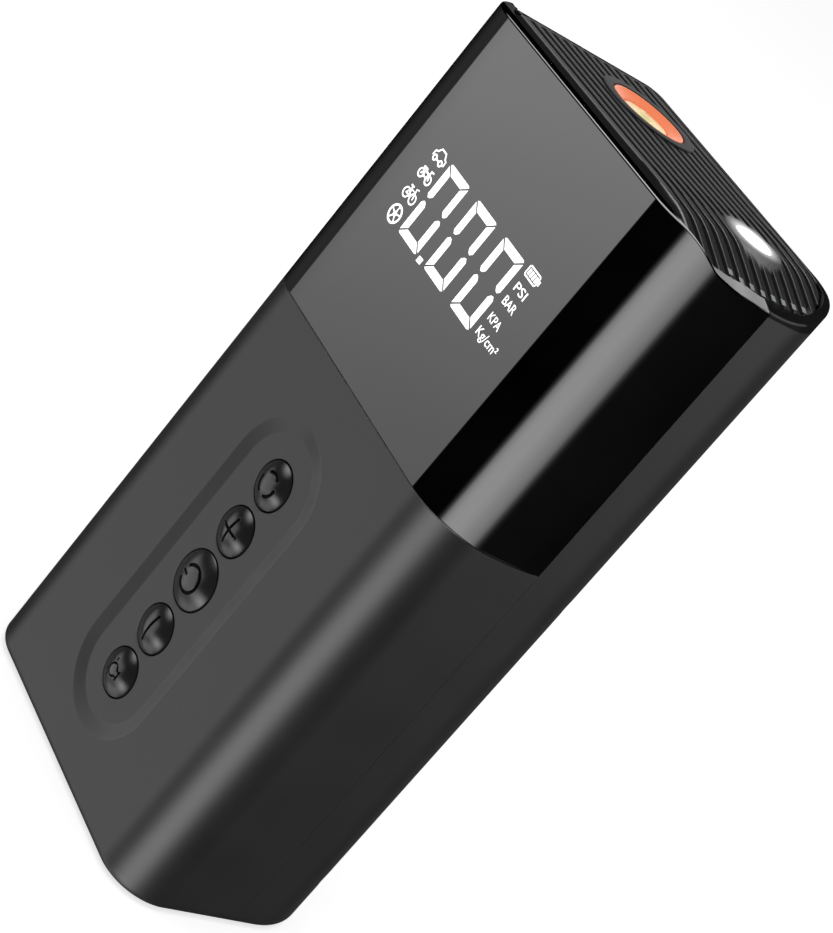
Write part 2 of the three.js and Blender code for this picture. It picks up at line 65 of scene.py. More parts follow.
# ------------------------------------------------------------------ driving dimensions
HALF_WIDTH, BACK_Y, PANEL_TOP = CAD_HI / MM
FRONT_Y = -24.8
TOP = 155.0
SPLIT_Y, HALF_SEAM = 2.7, 0.035             # parting plane between the front and rear pieces
FRONT_PART_Y, REAR_PART_Y = SPLIT_Y - HALF_SEAM, SPLIT_Y + HALF_SEAM
WALL, PANEL_WALL = 2.4, 3.2
FOOT_RADIUS = 2.0

# Plan sections: left, right, front, back, then the corner radii
# (front left, front right, rear right, rear left).
SHELL = (-HALF_WIDTH, HALF_WIDTH, FRONT_Y, BACK_Y, (10.7, 10.7, 16.5, 3.5))
CAP = (-35.95, 33.75, -21.3, 23.5, (9.2, 7.4, 13.0, 2.3))
CORNER_STARTS = (PI, 1.5 * PI, 0, 0.5 * PI)

KEYS = {"mode": 69.1, "plus": 57.8, "power": 45.6, "minus": 33.2, "light": 22.0}    # centre z
KEY_RADII = {key: (5.75 if key == "power" else 4.73) for key in KEYS}
KEYPAD_X, KEYPAD_Z = 0.6, KEYS["power"]
KEYPAD_RADIUS, KEYPAD_HALF_LENGTH = 13.05, 36.15
KEYPAD_HALF_STRAIGHT = KEYPAD_HALF_LENGTH - KEYPAD_RADIUS
KEYPAD_BAND, KEYPAD_DEPTH = 3.2, 0.7        # bevelled band round the keypad: width, depth
HOSE, LAMP = (-18.5, 8.2), (19.9, 7.6)      # centres on the top, x and y


def curve_through(table):
    """A smooth curve through (position, height) points, held level past both ends."""
    xs, zs = (np.array(column, float) for column in zip(*table))
    chords = np.diff(zs) / np.diff(xs)
    slopes = np.zeros(len(xs))
    slopes[0], slopes[-1] = chords[0], chords[-1]
    for i in range(1, len(xs) - 1):
        before, after = xs[i] - xs[i - 1], xs[i + 1] - xs[i]
        slopes[i] = (chords[i - 1] * after + chords[i] * before) / (before + after)

    def height(x):
        x = min(max(x, xs[0]), xs[-1])
        i = int(min(max(np.searchsorted(xs, x) - 1, 0), len(xs) - 2))
        span = xs[i + 1] - xs[i]
        t = (x - xs[i]) / span
        return float((2 * t**3 - 3 * t**2 + 1) * zs[i]
                     + (t**3 - 2 * t**2 + t) * span * slopes[i]
                     + (-2 * t**3 + 3 * t**2) * zs[i + 1]
                     + (t**3 - t**2) * span * slopes[i + 1])
    return height


# (y, z) of the line between the matte front shell and the glossy panel
edge_z = curve_through([
    (-24.8, 92.3), (-21.6, 92.1), (-16.7, 91.5), (-13, 90.85), (-8.7, 90.4), (-4.7, 90.1),
    (2.7, 89.93)])
# (y, z) of the right-hand rim, which dips between front and back
dip_z = curve_through([
    (-24.8, 155.7), (-22.2, 155.65), (-19, 154.7), (-16.4, 153.5), (-14.2, 152.6),
    (-10.5, 151.8), (-6.7, 151.2), (-2.9, 151.0), (2, 150.8), (8.3, 150.85), (12.5, 151.5),
    (16.5, 152.7), (19.9, 153.9), (23, 154.75), (24.8, 155.0)])
# (x, z) of the ribbed top, which rolls down to the right
cap_z = curve_through([
    (-60, TOP), (0, TOP), (20, TOP), (22.5, 154.87), (24.5, 154.5), (27, 153.75),
    (30.5, 152.55), (34.5, 151.1), (36, 150.55)])


def smooth(t):
    t = min(max(t, 0.0), 1.0)
    return t * t * (3 - 2 * t)


# ------------------------------------------------------------------ mesh helpers
class Mesh:
    """Collects vertices in millimetres and faces, then makes one object."""

    def __init__(self):
        self.verts, self.faces, self.slots = [], [], []

    def ring(self, points):
        start = len(self.verts)
        self.verts += [tuple(p) for p in points]
        return list(range(start, start + len(points)))

    def level(self, path, height):
        """A ring above an x,y path; height is a number or a function of x and y."""
        return self.ring([(x, y, height(x, y) if callable(height) else height)
                          for x, y in path])

    def face(self, indices, slot=0):
        self.faces.append(tuple(indices))
        self.slots.append(slot)

    def bridge(self, a, b, closed=False, skip=()):
        n = len(a)
        for j in range(n if closed else n - 1):
            if j not in skip:
                k = (j + 1) % n
                self.face((a[j], a[k], b[k], b[j]))

    def stack(self, rings):
        """A solid of closed rings, capped at both ends."""
        for a, b in zip(rings, rings[1:]):
            self.bridge(a, b, closed=True)
        self.face(rings[0][::-1])
        self.face(rings[-1])

    def close_half(self, rings):
        """Close a half shell: outer bottom, inner bottom and the U at the parting plane."""
        self.face(rings[0][::-1])
        self.face(rings[-1])
        self.face([r[0] for r in rings] + [r[-1] for r in rings][::-1])

    def fill(self, outer, holes):
        loops = [[Vector(self.verts[i]) for i in loop] for loop in (outer, *holes)]
        flat = list(outer) + [i for hole in holes for i in hole]
        for triangle in tessellate_polygon(loops):
            if len(set(triangle)) == 3:
                self.face([flat[i] for i in triangle])

    def make(self, name, mats=(), sharp=34, weighted=True):
        data = bpy.data.meshes.new(name)
        data.from_pydata([Vector(p) * MM for p in self.verts], [], self.faces)
        for polygon, slot in zip(data.polygons, self.slots):
            polygon.material_index = slot
        obj = bpy.data.objects.new(name, data)
        SCENE.collection.objects.link(obj)
        for mat in mats:
            data.materials.append(MAT[mat])
        clean(obj)
        shade(obj, sharp, weighted)
        return obj


def clean(obj, weld=2e-6):
    """Weld close vertices (distance in metres) and turn all faces outwards."""
    bm = bmesh.new()
    bm.from_mesh(obj.data)
    bmesh.ops.remove_doubles(bm, verts=bm.verts, dist=weld)
    bmesh.ops.dissolve_degenerate(bm, edges=bm.edges, dist=weld)
    bmesh.ops.recalc_face_normals(bm, faces=bm.faces)
    if bm.calc_volume(signed=True) < 0:
        bmesh.ops.reverse_faces(bm, faces=bm.faces)
    bm.to_mesh(obj.data)
    bm.free()


def shade(obj, sharp, weighted=True):
    obj.data.shade_smooth()
    obj.data.set_sharp_from_angle(angle=math.radians(sharp))
    if weighted:
        normals = obj.modifiers.new("normals", "WEIGHTED_NORMAL")
        normals.keep_sharp = True
        normals.mode = "FACE_AREA"
        normals.weight = 60


def boolean(obj, cutter, operation):
    """Combine obj with cutter, fix the result in its mesh and remove the cutter."""
    modifier = obj.modifiers.new("b", "BOOLEAN")
    modifier.operation, modifier.solver, modifier.object = operation, "EXACT", cutter
    depsgraph = bpy.context.evaluated_depsgraph_get()
    depsgraph.update()
    data = bpy.data.meshes.new_from_object(obj.evaluated_get(depsgraph))
    old, cutter_data = obj.data, cutter.data
    obj.modifiers.clear()
    obj.data = data
    data.name = obj.name
    if old.users == 0:
        bpy.data.meshes.remove(old)
    bpy.data.objects.remove(cutter)
    if cutter_data.users == 0:
        bpy.data.meshes.remove(cutter_data)


def lin(a, b, n):
    return [a + (b - a) * i / n for i in range(n + 1)]


def arc(cx, cy, r, start, end, n):
    return [(cx + r * math.cos(start + (end - start) * i / n),
             cy + r * math.sin(start + (end - start) * i / n)) for i in range(n + 1)]


def foot_round(radius, steps):
    """(inset, rise) up a rounded lower edge."""
    return [(radius * (1 - math.sin(a)), radius * (1 - math.cos(a)))
            for a in lin(0, PI / 2, steps)]


def top_round(radius, steps):
    """(inset, rise) up to the top of a rounded upper edge, where the rise is 0."""
    return [(radius * (1 - math.cos(a)), -radius + radius * math.sin(a))
            for a in lin(0, PI / 2, steps)]


# Paths along a plan section set in by inset; a negative inset sets them out.
def quarters(section, inset, counts):
    """The four corner arcs, anticlockwise from the front left."""
    left, right, front, back, radii = section
    fl, fr, br, bl = (max(0.8, r - inset) for r in radii)
    left, right, front, back = left + inset, right - inset, front + inset, back - inset
    corners = ((left + fl, front + fl, fl), (right - fr, front + fr, fr),
               (right - br, back - br, br), (left + bl, back - bl, bl))
    return [arc(*corner, start, start + PI / 2, n)
            for corner, start, n in zip(corners, CORNER_STARTS, counts)]


def outline(section, inset, n):
    return sum(quarters(section, inset, (n,) * 4), [])


def half_path(section, inset, arcs, part_y, side_steps, sign):
    """From the parting plane round two corners and back to it."""
    start_x, end_x = sign * 1.0, sign * -1.0
    left, right = section[0] + inset, section[1] - inset
    start_x, end_x = (left, right) if sign < 0 else (right, left)
    return ([(start_x, y) for y in lin(part_y, arcs[0][0][1], side_steps)[:-1]]
            + arcs[0] + arcs[1]
            + [(end_x, y) for y in lin(arcs[1][-1][1], part_y, side_steps)[1:]])


FRONT_SIDE_STEPS, FRONT_ARC_STEPS = 18, 28


def front_path(section, inset):
    """From the left parting edge round the front to the right parting edge."""
    arcs = quarters(section, inset, (FRONT_ARC_STEPS,) * 4)[:2]
    return half_path(section, inset, arcs, FRONT_PART_Y, FRONT_SIDE_STEPS, -1)


def rear_path(section, inset):
    """From the right parting edge round the back to the left parting edge."""
    arcs = quarters(section, inset, (36, 36, 36, 12))[2:]
    return half_path(section, inset, arcs, REAR_PART_Y, 10, 1)


def place(u, v, height, axis):
    return (u, v, height) if axis == "z" else (u, height, v)


def prism(name, points, low, high, axis="z"):
    mesh = Mesh()
    mesh.stack([mesh.ring([place(u, v, h, axis) for u, v in points]) for h in (low, high)])
    return mesh.make(name, weighted=False)


def lathe(name, profile, centre, axis="z", seg=128, mats=(), sharp=34, shape=None,
          weighted=True):
    """A turned piece: profile of (radius, height). shape(r, h, angle) may move a point."""
    mesh = Mesh()
    rings = []
    for r, h in profile:
        points = []
        for k in range(seg if r > 1e-6 else 1):
            a = 2 * PI * k / seg
            rr, hh = shape(r, h, a) if shape else (r, h)
            points.append(place(centre[0] + rr * math.cos(a), centre[1] + rr * math.sin(a),
                                hh, axis))
        rings.append(mesh.ring(points))
    hollow = profile[0][0] > 1e-6 and profile[-1][0] > 1e-6
    for a, b in zip(rings, rings[1:] + ([rings[0]] if hollow else [])):
        if len(a) == 1 or len(b) == 1:
            tip, ring = (a, b) if len(a) == 1 else (b, a)
            for j in range(len(ring)):
                mesh.face((tip[0], ring[j], ring[(j + 1) % len(ring)]))
        else:
            mesh.bridge(a, b, closed=True)
    return mesh.make(name, mats, sharp, weighted)


# ------------------------------------------------------------------ shader helpers
class Graph:
    """A node tree with short calls for the nodes used here."""

    def __init__(self, owner, clear=True):
        owner.use_nodes = True
        self.tree = owner.node_tree
        if clear:
            self.tree.nodes.clear()

    def feed(self, node, values):
        """Set or link inputs; a tuple is an RGB colour."""
        for key, value in values.items():
            if isinstance(value, bpy.types.NodeSocket):
                self.tree.links.new(value, node.inputs[key])
            elif isinstance(value, tuple):
                node.inputs[key].default_value = (*value, 1)
            else:
                node.inputs[key].default_value = value

    def node(self, kind, inputs=None, **settings):
        node = self.tree.nodes.new("ShaderNode" + kind)
        for key, value in settings.items():
            setattr(node, key, value)
        self.feed(node, inputs or {})
        return node

    def math(self, operation, *values, clamp=False):
        inputs = dict(enumerate(values))
        return self.node("Math", inputs, operation=operation, use_clamp=clamp).outputs[0]

    def times(self, result, *factors):
        for factor in factors:
            result = self.math("MULTIPLY", result, factor)
        return result

    def plus(self, result, *terms):
        for term in terms:
            result = self.math("ADD", result, term)
        return result

    def minus(self, a, b):
        return self.math("SUBTRACT", a, b)

    def below(self, a, limit):
        return self.math("LESS_THAN", a, limit * MM)

    def above(self, a, limit):
        return self.math("GREATER_THAN", a, limit * MM)

    def squares(self, a, b):
        return self.plus(self.times(a, a), self.times(b, b))

    def choose(self, mask, a, b):
        return self.plus(self.times(mask, a), self.times(self.minus(1.0, mask), b))

    def mix(self, factor, a, b):
        return self.node("Mix", {0: factor, 6: a, 7: b}, data_type="RGBA",
                         blend_type="MIX").outputs[2]

    def noise(self, vector, scale, detail=2):
        return self.node("TexNoise", {"Vector": vector, "Scale": scale,
                                      "Detail": detail}).outputs[0]

    def object_coordinates(self):
        return self.node("TexCoord").outputs["Object"]

    def bump(self, height, strength, distance):
        return self.node("Bump", {"Height": height, "Strength": strength,
                                  "Distance": distance * MM}).outputs[0]

    def ramp(self, factor, stops, interpolation="LINEAR"):
        """A grey ramp of (position, value) stops."""
        node = self.node("ValToRGB", {0: factor})
        node.color_ramp.interpolation = interpolation
        elements = node.color_ramp.elements
        while len(elements) > 1:
            elements.remove(elements[-1])
        elements[0].position = stops[0][0]
        for i, (position, value) in enumerate(stops):
            element = elements[0] if i == 0 else elements.new(position)
            element.color = (value, value, value, 1)
        return node.outputs[0]


# ------------------------------------------------------------------ materials
MAT = {}


def new_shader(name):
    MAT[name] = bpy.data.materials.new(name)
    g = Graph(MAT[name])
    shader = g.node("BsdfPrincipled")
    g.node("OutputMaterial", {0: shader.outputs[0]})
    return g, shader


def plastic(name, colour, rough, grain, depth, vary, rough_vary=0.06, spec=0.5, coat=0.0,
            coat_rough=0.05, wear_and_highlight=0.25, metal=0.0, stretch=(1, 1, 1), cloud=90.0,
            voronoi=False, sheen=0.0, brushed=0.0):
    """Moulded or machined surface: colour drift, uneven gloss, fine grain in the bump and
    lighter edges, partly wear and partly painted highlight. grain and cloud are noise scales,
    depth is the bump in millimetres."""
    g, shader = new_shader(name)
    coordinates = g.object_coordinates()
    mapping = g.node("Mapping", {0: coordinates})
    mapping.inputs["Scale"].default_value = stretch
    fine = g.noise(mapping.outputs[0], grain, 3)
    clouds = g.noise(coordinates, cloud, 5)
    height = fine
    if voronoi:
        cells = g.node("TexVoronoi", {"Vector": mapping.outputs[0], "Scale": grain * 0.55})
        height = g.plus(fine, g.times(cells.outputs["Distance"], 0.8))
    drift = g.minus(clouds, 0.5)
    dark = tuple(c * (1 - vary) for c in colour)
    light = tuple(min(1, c * (1 + vary) + 0.002) for c in colour)
    speck = tuple(min(1, c * 1.5 + 0.004) for c in colour)
    # lighter edge colour, mixed in where pointiness finds an edge: partly wear, partly a
    # painted highlight
    worn_and_highlit = tuple(min(1, c * 2.0 + 0.03) for c in colour)
    base = g.mix(g.math("ADD", 0.5, g.times(drift, 2.2), clamp=True), dark, light)
    base = g.mix(g.times(g.math("GREATER_THAN", fine, 0.62), 0.25), base, speck)
    pointiness = g.node("NewGeometry").outputs["Pointiness"]
    edge = g.math("MULTIPLY", g.minus(pointiness, 0.53), 14.0, clamp=True)
    g.feed(shader, {
        "Base Color": g.mix(g.times(edge, clouds, wear_and_highlight), base, worn_and_highlit),
        "Roughness": g.plus(rough, g.times(drift, rough_vary * 2)),
        "Metallic": metal,
        "Specular IOR Level": spec,
        "Coat Weight": coat,
        "Coat Roughness": coat_rough,
        "Sheen Weight": sheen,
        "Anisotropic": brushed,
        "Normal": g.bump(height, 1.0, depth),
    })


def glow(name, colour, strength, vary=0.06):
    """Lit diffuser: emission with a fine uneven spread, over a pale plastic base."""
    g, shader = new_shader(name)
    spread = g.noise(g.object_coordinates(), scale=2500.0)
    g.feed(shader, {
        "Base Color": colour,
        "Roughness": 0.35,
        "Emission Color": colour,
        "Emission Strength": g.plus(strength * (1 - vary),
                                    g.times(spread, strength * 2 * vary)),
        "Normal": g.bump(spread, 0.3, 0.003),
    })


plastic("shell_black", colour=(0.0085, 0.0085, 0.0090), rough=0.41, grain=7000, depth=0.0035,
        vary=0.10, rough_vary=0.03, wear_and_highlight=0.10, voronoi=True)
plastic("gloss_black", colour=(0.0002, 0.0002, 0.00025), rough=0.03, grain=2500,
        depth=0.0002, vary=0.3, rough_vary=0.012, wear_and_highlight=0.0, cloud=60)
# light grey for the right-hand rim of the glossy panel: a painted reflection strip
plastic("panel_rim_painted_reflection", colour=(0.25, 0.25, 0.255), rough=0.32, grain=6000, depth=0.002,
        vary=0.08, wear_and_highlight=0.1)
plastic("cap_black", colour=(0.020, 0.020, 0.021), rough=0.40, grain=8000, depth=0.004,
        vary=0.12, wear_and_highlight=0.15, voronoi=True)
plastic("button_black", colour=(0.006, 0.006, 0.0064), rough=0.20, grain=5000, depth=0.0006,
        vary=0.15, rough_vary=0.03, wear_and_highlight=0.3, coat=0.2, coat_rough=0.1)
plastic("orange_trim", colour=(0.98, 0.235, 0.085), rough=0.34, grain=5000, depth=0.002,
        vary=0.07, wear_and_highlight=0.3)
plastic("brass", colour=(0.95, 0.84, 0.44), rough=0.26, grain=2600, depth=0.002, vary=0.12,
        metal=1.0, wear_and_highlight=0.5, stretch=(1, 1, 8), brushed=0.4)
plastic("rubber", colour=(0.016, 0.016, 0.016), rough=0.8, grain=4200, depth=0.012, vary=0.2,
        voronoi=True, sheen=0.2)
glow("lamp_clear", colour=(1.0, 1.0, 1.0), strength=3.2)
glow("lamp_chip", colour=(1.0, 0.93, 0.62), strength=2.0)
plastic("white_plastic", colour=(0.62, 0.63, 0.63), rough=0.45, grain=6000, depth=0.003,
        vary=0.05)
plastic("board_green", colour=(0.016, 0.12, 0.05), rough=0.42, grain=3000, depth=0.006,
        vary=0.25, coat=0.4, cloud=500)
plastic("black_plastic", colour=(0.014, 0.014, 0.015), rough=0.5, grain=6000, depth=0.005,
        vary=0.2, voronoi=True)
plastic("cell_wrap", colour=(0.03, 0.16, 0.42), rough=0.3, grain=2500, depth=0.006, vary=0.1,
        coat=0.5, stretch=(1, 1, 0.15))
plastic("nickel", colour=(0.62, 0.61, 0.57), rough=0.26, grain=2200, depth=0.002, vary=0.1,
        metal=1.0, stretch=(0.1, 1, 1), brushed=0.5)
plastic("steel", colour=(0.46, 0.47, 0.49), rough=0.3, grain=3000, depth=0.003, vary=0.12,
        metal=1.0, stretch=(1, 1, 0.12), brushed=0.5)
plastic("copper", colour=(0.62, 0.24, 0.10), rough=0.34, grain=3500, depth=0.012, vary=0.2,
        metal=0.9, stretch=(1, 1, 0.1))
plastic("frame_grey", colour=(0.045, 0.046, 0.05), rough=0.52, grain=5000, depth=0.006,
        vary=0.15, voronoi=True)
plastic("alloy", colour=(0.52, 0.53, 0.55), rough=0.42, grain=2600, depth=0.014, vary=0.12,
        metal=1.0, voronoi=True)
plastic("acetal", colour=(0.75, 0.72, 0.64), rough=0.42, grain=4000, depth=0.003, vary=0.06,
        coat=0.1)
plastic("magnet_grey", colour=(0.06, 0.06, 0.065), rough=0.55, grain=4200, depth=0.01,
        vary=0.3, metal=0.3)
plastic("pipe_clear", colour=(0.55, 0.57, 0.58), rough=0.3, grain=3000, depth=0.002,
        vary=0.08, coat=0.3)
glow("display_lit", colour=(1.0, 1.0, 1.0), strength=0.93, vary=0.03)
plastic("cap_border", colour=(0.011, 0.011, 0.0115), rough=0.55, grain=7000, depth=0.003,
        vary=0.1, spec=0.3)
# near-black for the groove walls and floors: painted shade in the recesses
plastic("cap_groove_painted_shade", colour=(0.004, 0.004, 0.0043), rough=0.6, grain=7000, depth=0.003,
        vary=0.1, spec=0.04)
plastic("rim_land", colour=(0.013, 0.013, 0.0135), rough=0.5, grain=7000, depth=0.002,
        vary=0.1, spec=0.1)
# a light line of painted highlight along the rear shell's rim edges
plastic("rim_painted_highlight", colour=(0.085, 0.086, 0.088), rough=0.4, grain=6000, depth=0.001,
        vary=0.08)
# light grey for a thin strip at the ribbed top's plain border: a painted highlight
plastic("cap_edge_painted_highlight", colour=(0.22, 0.225, 0.23), rough=0.4, grain=6000, depth=0.001,
        vary=0.08)
# near-black for the engraved key signs: painted shade in the strokes
plastic("key_sign_painted_shade", colour=(0.0006, 0.0006, 0.0007), rough=0.6, grain=6000, depth=0.001,
        vary=0.2, spec=0.06)
# light grey tops of the rib-end squares: a painted highlight
plastic("rib_end_highlight", colour=(0.42, 0.43, 0.435), rough=0.4, grain=6000, depth=0.002,
        vary=0.08)


def set_emission(name, colour, strength):
    g = Graph(MAT[name], clear=False)
    shader = next(n for n in g.tree.nodes if n.type == "BSDF_PRINCIPLED")
    g.feed(shader, {"Emission Color": colour, "Emission Strength": strength})


def add_lamp_glow(name):
    """Light spilt from the lamp over the ribbed top: a soft oval falloff about its axis."""
    g = Graph(MAT[name], clear=False)
    offset = g.node("VectorMath", {0: g.object_coordinates()}, operation="SUBTRACT")
    offset.inputs[1].default_value = (LAMP[0] * MM, LAMP[1] * MM, 0.1552)
    parts = []
    for axis, squeeze in (((-0.682, 0.731, 0), 0.85), ((0.731, 0.682, 0), 1.0)):
        dot = g.node("VectorMath", {0: offset.outputs[0]}, operation="DOT_PRODUCT")
        dot.inputs[1].default_value = axis
        along = g.math("ABSOLUTE", g.times(dot.outputs["Value"], squeeze * 100))
        parts.append(g.math("POWER", along, 2.0))
    distance = g.times(g.math("SQRT", g.plus(*parts)), 0.01)
    # the falloff starts 2.2 mm from the axis and is 4.7 mm wide
    t = g.math("MULTIPLY", g.minus(distance, 0.0022), 1 / 0.0047, clamp=True)
    falloff = [(0.0, 1.1), (0.3, 0.72), (0.46, 0.42), (0.66, 0.16), (0.86, 0.04), (1.0, 0.0)]
    set_emission(name, (1, 1, 1), g.ramp(t, falloff, "B_SPLINE"))


add_lamp_glow("cap_black")
add_lamp_glow("cap_groove_painted_shade")
# painted glow: the ring is given a faint emission of its own, so it looks lit through
set_emission("orange_trim", colour=(1.0, 0.20, 0.06), strength=0.28)


# ------------------------------------------------------------------ CAD nodes and their finish
def paint(data, mat):
    data.materials.clear()
    data.materials.append(MAT[mat])


# every CAD node takes the finish of its slot; the visible ones are replaced below
slot_of = {part["node"]: part["material_slot"] for part in frame["record"]["subparts"]}
for name, node in frame["nodes"].items():
    paint(node.data, slot_of.get(name, "black_plastic"))
    for polygon in node.data.polygons:
        polygon.material_index = 0
paint(frame["nodes"]["lamp_led"].data, "lamp_chip")


def attach(obj, body, slot, *nodes):
    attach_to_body(obj, body)
    if nodes:
        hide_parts(*nodes)


def keep_inside(node, name, cutter):
    """The hidden inner structure of a CAD node, kept as its own closed piece."""
    obj = bpy.data.objects.new(name, frame["nodes"][node].data.copy())
    SCENE.collection.objects.link(obj)
    clean(obj, 1e-6)
    boolean(obj, cutter, "INTERSECT")
    clean(obj, 1e-6)
    shade(obj, 30)
    attach(obj, "case", "shell_black")
    paint(obj.data, "black_plastic")


INSIDE_OUTLINE = outline(SHELL, WALL + 0.04, 24)


# ------------------------------------------------------------------ front shell
def track(inset, y, n=30):
    """Racetrack set in from the keypad's edge, at depth y, anticlockwise in x,z."""
    r = KEYPAD_RADIUS - inset
    return [(KEYPAD_X + r * math.cos(a), y, KEYPAD_Z + shift + r * math.sin(a))
            for shift, start in ((KEYPAD_HALF_STRAIGHT, 0), (-KEYPAD_HALF_STRAIGHT, PI))
            for a in lin(start, start + PI, n)]


def keypad_circle(r, y, z, n=72):
    return [(KEYPAD_X + r * math.cos(2 * PI * k / n), y, z + r * math.sin(2 * PI * k / n))
            for k in range(n)]


def band_depth(t):
    """Depth share across the bevelled band: a straight slope with soft ends."""
    soft = 0.13
    full = 1 - soft
    if t < soft:
        return t * t / (2 * soft) / full
    if t > 1 - soft:
        return 1 - (1 - t) ** 2 / (2 * soft) / full
    return (t - soft / 2) / full


def build_front_shell():
    mesh = Mesh()

    def level(inset, height):
        return mesh.level(front_path(SHELL, inset), height)

    rings = [level(inset, z) for inset, z in foot_round(FOOT_RADIUS, 7)]
    outer_low = len(rings) - 1
    outer_top = outer_low + 1
    rings += [level(inset, lambda x, y: edge_z(y) - 0.05 + rise)
              for inset, rise in top_round(0.12, 4)]
    rings += [level(WALL - 0.2, lambda x, y: edge_z(y) - 0.1),
              level(WALL, lambda x, y: edge_z(y) - 0.3),
              level(WALL, WALL)]
    inner_low = len(rings) - 1
    inner_top = inner_low - 1
    flat = FRONT_SIDE_STEPS + FRONT_ARC_STEPS        # the one segment along the flat front
    for k in range(inner_low):
        mesh.bridge(rings[k], rings[k + 1], skip=(flat,) if k in (outer_low, inner_top) else ())
    mesh.close_half(rings)

    def flat_corners(low, top):
        return [rings[low][flat], rings[low][flat + 1], rings[top][flat + 1], rings[top][flat]]

    # flat front, with the bevelled band round the keypad
    previous = mesh.ring(track(0, FRONT_Y))
    mesh.fill(flat_corners(outer_low, outer_top), [previous])
    for t in (0.03, 0.07, 0.13, 0.3, 0.5, 0.7, 0.87, 0.93, 0.97, 1.0):
        ring = mesh.ring(track(KEYPAD_BAND * t, FRONT_Y + KEYPAD_DEPTH * band_depth(t)))
        mesh.bridge(previous, ring, closed=True)
        previous = ring
    # key holes with a softened front edge: (extra radius, depth)
    fronts, backs = [], []
    for key, z in KEYS.items():
        r = KEY_RADII[key] + 0.2
        hole = [mesh.ring(keypad_circle(r + extra, FRONT_Y + depth, z)) for extra, depth in
                ((0.16, KEYPAD_DEPTH), (0.05, 0.75), (0, 0.86), (0, WALL))]
        for a, b in zip(hole, hole[1:]):
            mesh.bridge(a, b, closed=True)
        fronts.append(hole[0])
        backs.append(hole[-1])
    mesh.fill(previous, fronts)
    mesh.fill(flat_corners(inner_low, inner_top), backs)
    return mesh.make("front_shell_body", ["shell_black"])


attach(build_front_shell(), "case", "shell_black", "front_shell")
keep_inside("front_shell", "front_shell_frame",
            prism("cut_a", INSIDE_OUTLINE, WALL + 0.05, 170))


# ------------------------------------------------------------------ rear shell
SCREW_X, SCREW_HEIGHTS, SCREW_RADIUS, SCREW_FLOOR_Y = 31.8, (12, 84), 2.6, 13.9
PORT_Z, PORT_RADIUS = 83, 1.4
# (half width, half height, y of the floor): the port, then its shallow surround
PORT_CUTS = ((4.85, 1.85, 15.0), (5.15, 2.15, BACK_Y - 0.3))
CUT_END_Y = 40                              # cutters run out past the back


def rear_top(x, y):
    return dip_z(y) if x >= 20 else TOP


def cut_rear_holes(obj):
    """Four screw holes and the charging port."""
    for x in (-SCREW_X, SCREW_X):
        for z in SCREW_HEIGHTS:
            profile = [(0, SCREW_FLOOR_Y), (SCREW_RADIUS, SCREW_FLOOR_Y),
                       (SCREW_RADIUS, CUT_END_Y), (0, CUT_END_Y)]
            boolean(obj, lathe("cut", profile, (x, z), axis="y", seg=48, weighted=False),
                    "DIFFERENCE")
    for w, h, floor_y in PORT_CUTS:
        points = []
        for k, (sx, sz) in enumerate(((1, 1), (-1, 1), (-1, -1), (1, -1))):
            points += arc(sx * (w - PORT_RADIUS), PORT_Z + sz * (h - PORT_RADIUS),
                          PORT_RADIUS, k * PI / 2, (k + 1) * PI / 2, 8)
        boolean(obj, prism("cut", points, floor_y, CUT_END_Y, axis="y"), "DIFFERENCE")


def build_rear_shell():
    mesh = Mesh()
    rings = []

    def level(path, height):
        rings.append(mesh.level(path, height))

    for inset, z in foot_round(FOOT_RADIUS, 7):
        level(rear_path(SHELL, inset), z)
    for inset, rise in top_round(0.45, 5):
        level(rear_path(SHELL, inset), lambda x, y: rear_top(x, y) + rise)
    level(rear_path(CAP, -0.5), rear_top)
    level(rear_path(CAP, -0.36), lambda x, y: rear_top(x, y) - 0.05)
    level(rear_path(CAP, -0.3), lambda x, y: rear_top(x, y) - 0.2)
    # the ledge under the top is narrower on the right
    ledge = [(a if a[0] > 18 else b)
             for a, b in zip(rear_path(SHELL, 3.2), rear_path(SHELL, 3.9))]
    level(rear_path(CAP, -0.3), lambda x, y: min(152.3, rear_top(x, y) - 0.6))
    level(ledge, lambda x, y: min(152.3, rear_top(x, y) - 0.7))
    level(ledge, lambda x, y: 146.2 if x > 18 else 149.6)
    level(rear_path(SHELL, WALL), lambda x, y: 145.4 if x > 18 else 148.2)
    level(rear_path(SHELL, WALL), WALL)
    for a, b in zip(rings, rings[1:]):
        mesh.bridge(a, b)
    mesh.close_half(rings)
    obj = mesh.make("rear_shell_body", ["shell_black"], weighted=False)
    cut_rear_holes(obj)
    clean(obj, 1e-6)
    shade(obj, 34)
    for mat in ("rim_painted_highlight", "rim_land"):
        obj.data.materials.append(MAT[mat])
    line, land = 1, 2
    for face in obj.data.polygons:
        c, normal = face.center / MM, face.normal
        # the plain rim, with a painted highlight along its inner edge
        if c.x > 18 and normal.z > 0.2 and c.z > rear_top(c.x, c.y) - 0.5:
            inward = normal.x * (c.x - 15) + normal.y * (c.y - 6) < 0
            face.material_index = line if inward and normal.z < 0.7 else land
        # a painted highlight along the outer edge of the right-hand rim
        if c.x > 36.6 and c.y < 22 and normal.z > 0.15 and normal.x > 0.15:
            if rear_top(37.25, c.y) - 0.36 < c.z < rear_top(37.25, c.y) - 0.02:
                face.material_index = line
    return obj


attach(build_rear_shell(), "case", "shell_black", "rear_shell")
keep_inside("rear_shell", "rear_shell_frame",
            prism("cut_b", INSIDE_OUTLINE, WALL + 0.05, 145.3))


# ------------------------------------------------------------------ glossy wrap-round panel
def rim_rise(y):
    """How far the inner side of the right-hand rim stands above its outer edge."""
    return 0.85 * smooth((y + 16.5) / 13.0) * (1 - 0.35 * smooth((y + 4.0) / 6.5))


def panel_top(x, y, inner=False):
    if x > 20:
        rise = rim_rise(y) if inner else -0.22 * smooth((y + 6) / 8)
        return min(PANEL_TOP - 0.01, dip_z(y) + rise)
    if x < -30:
        return PANEL_TOP - 0.7 * smooth((y + 17.2) / 0.5)
    return PANEL_TOP


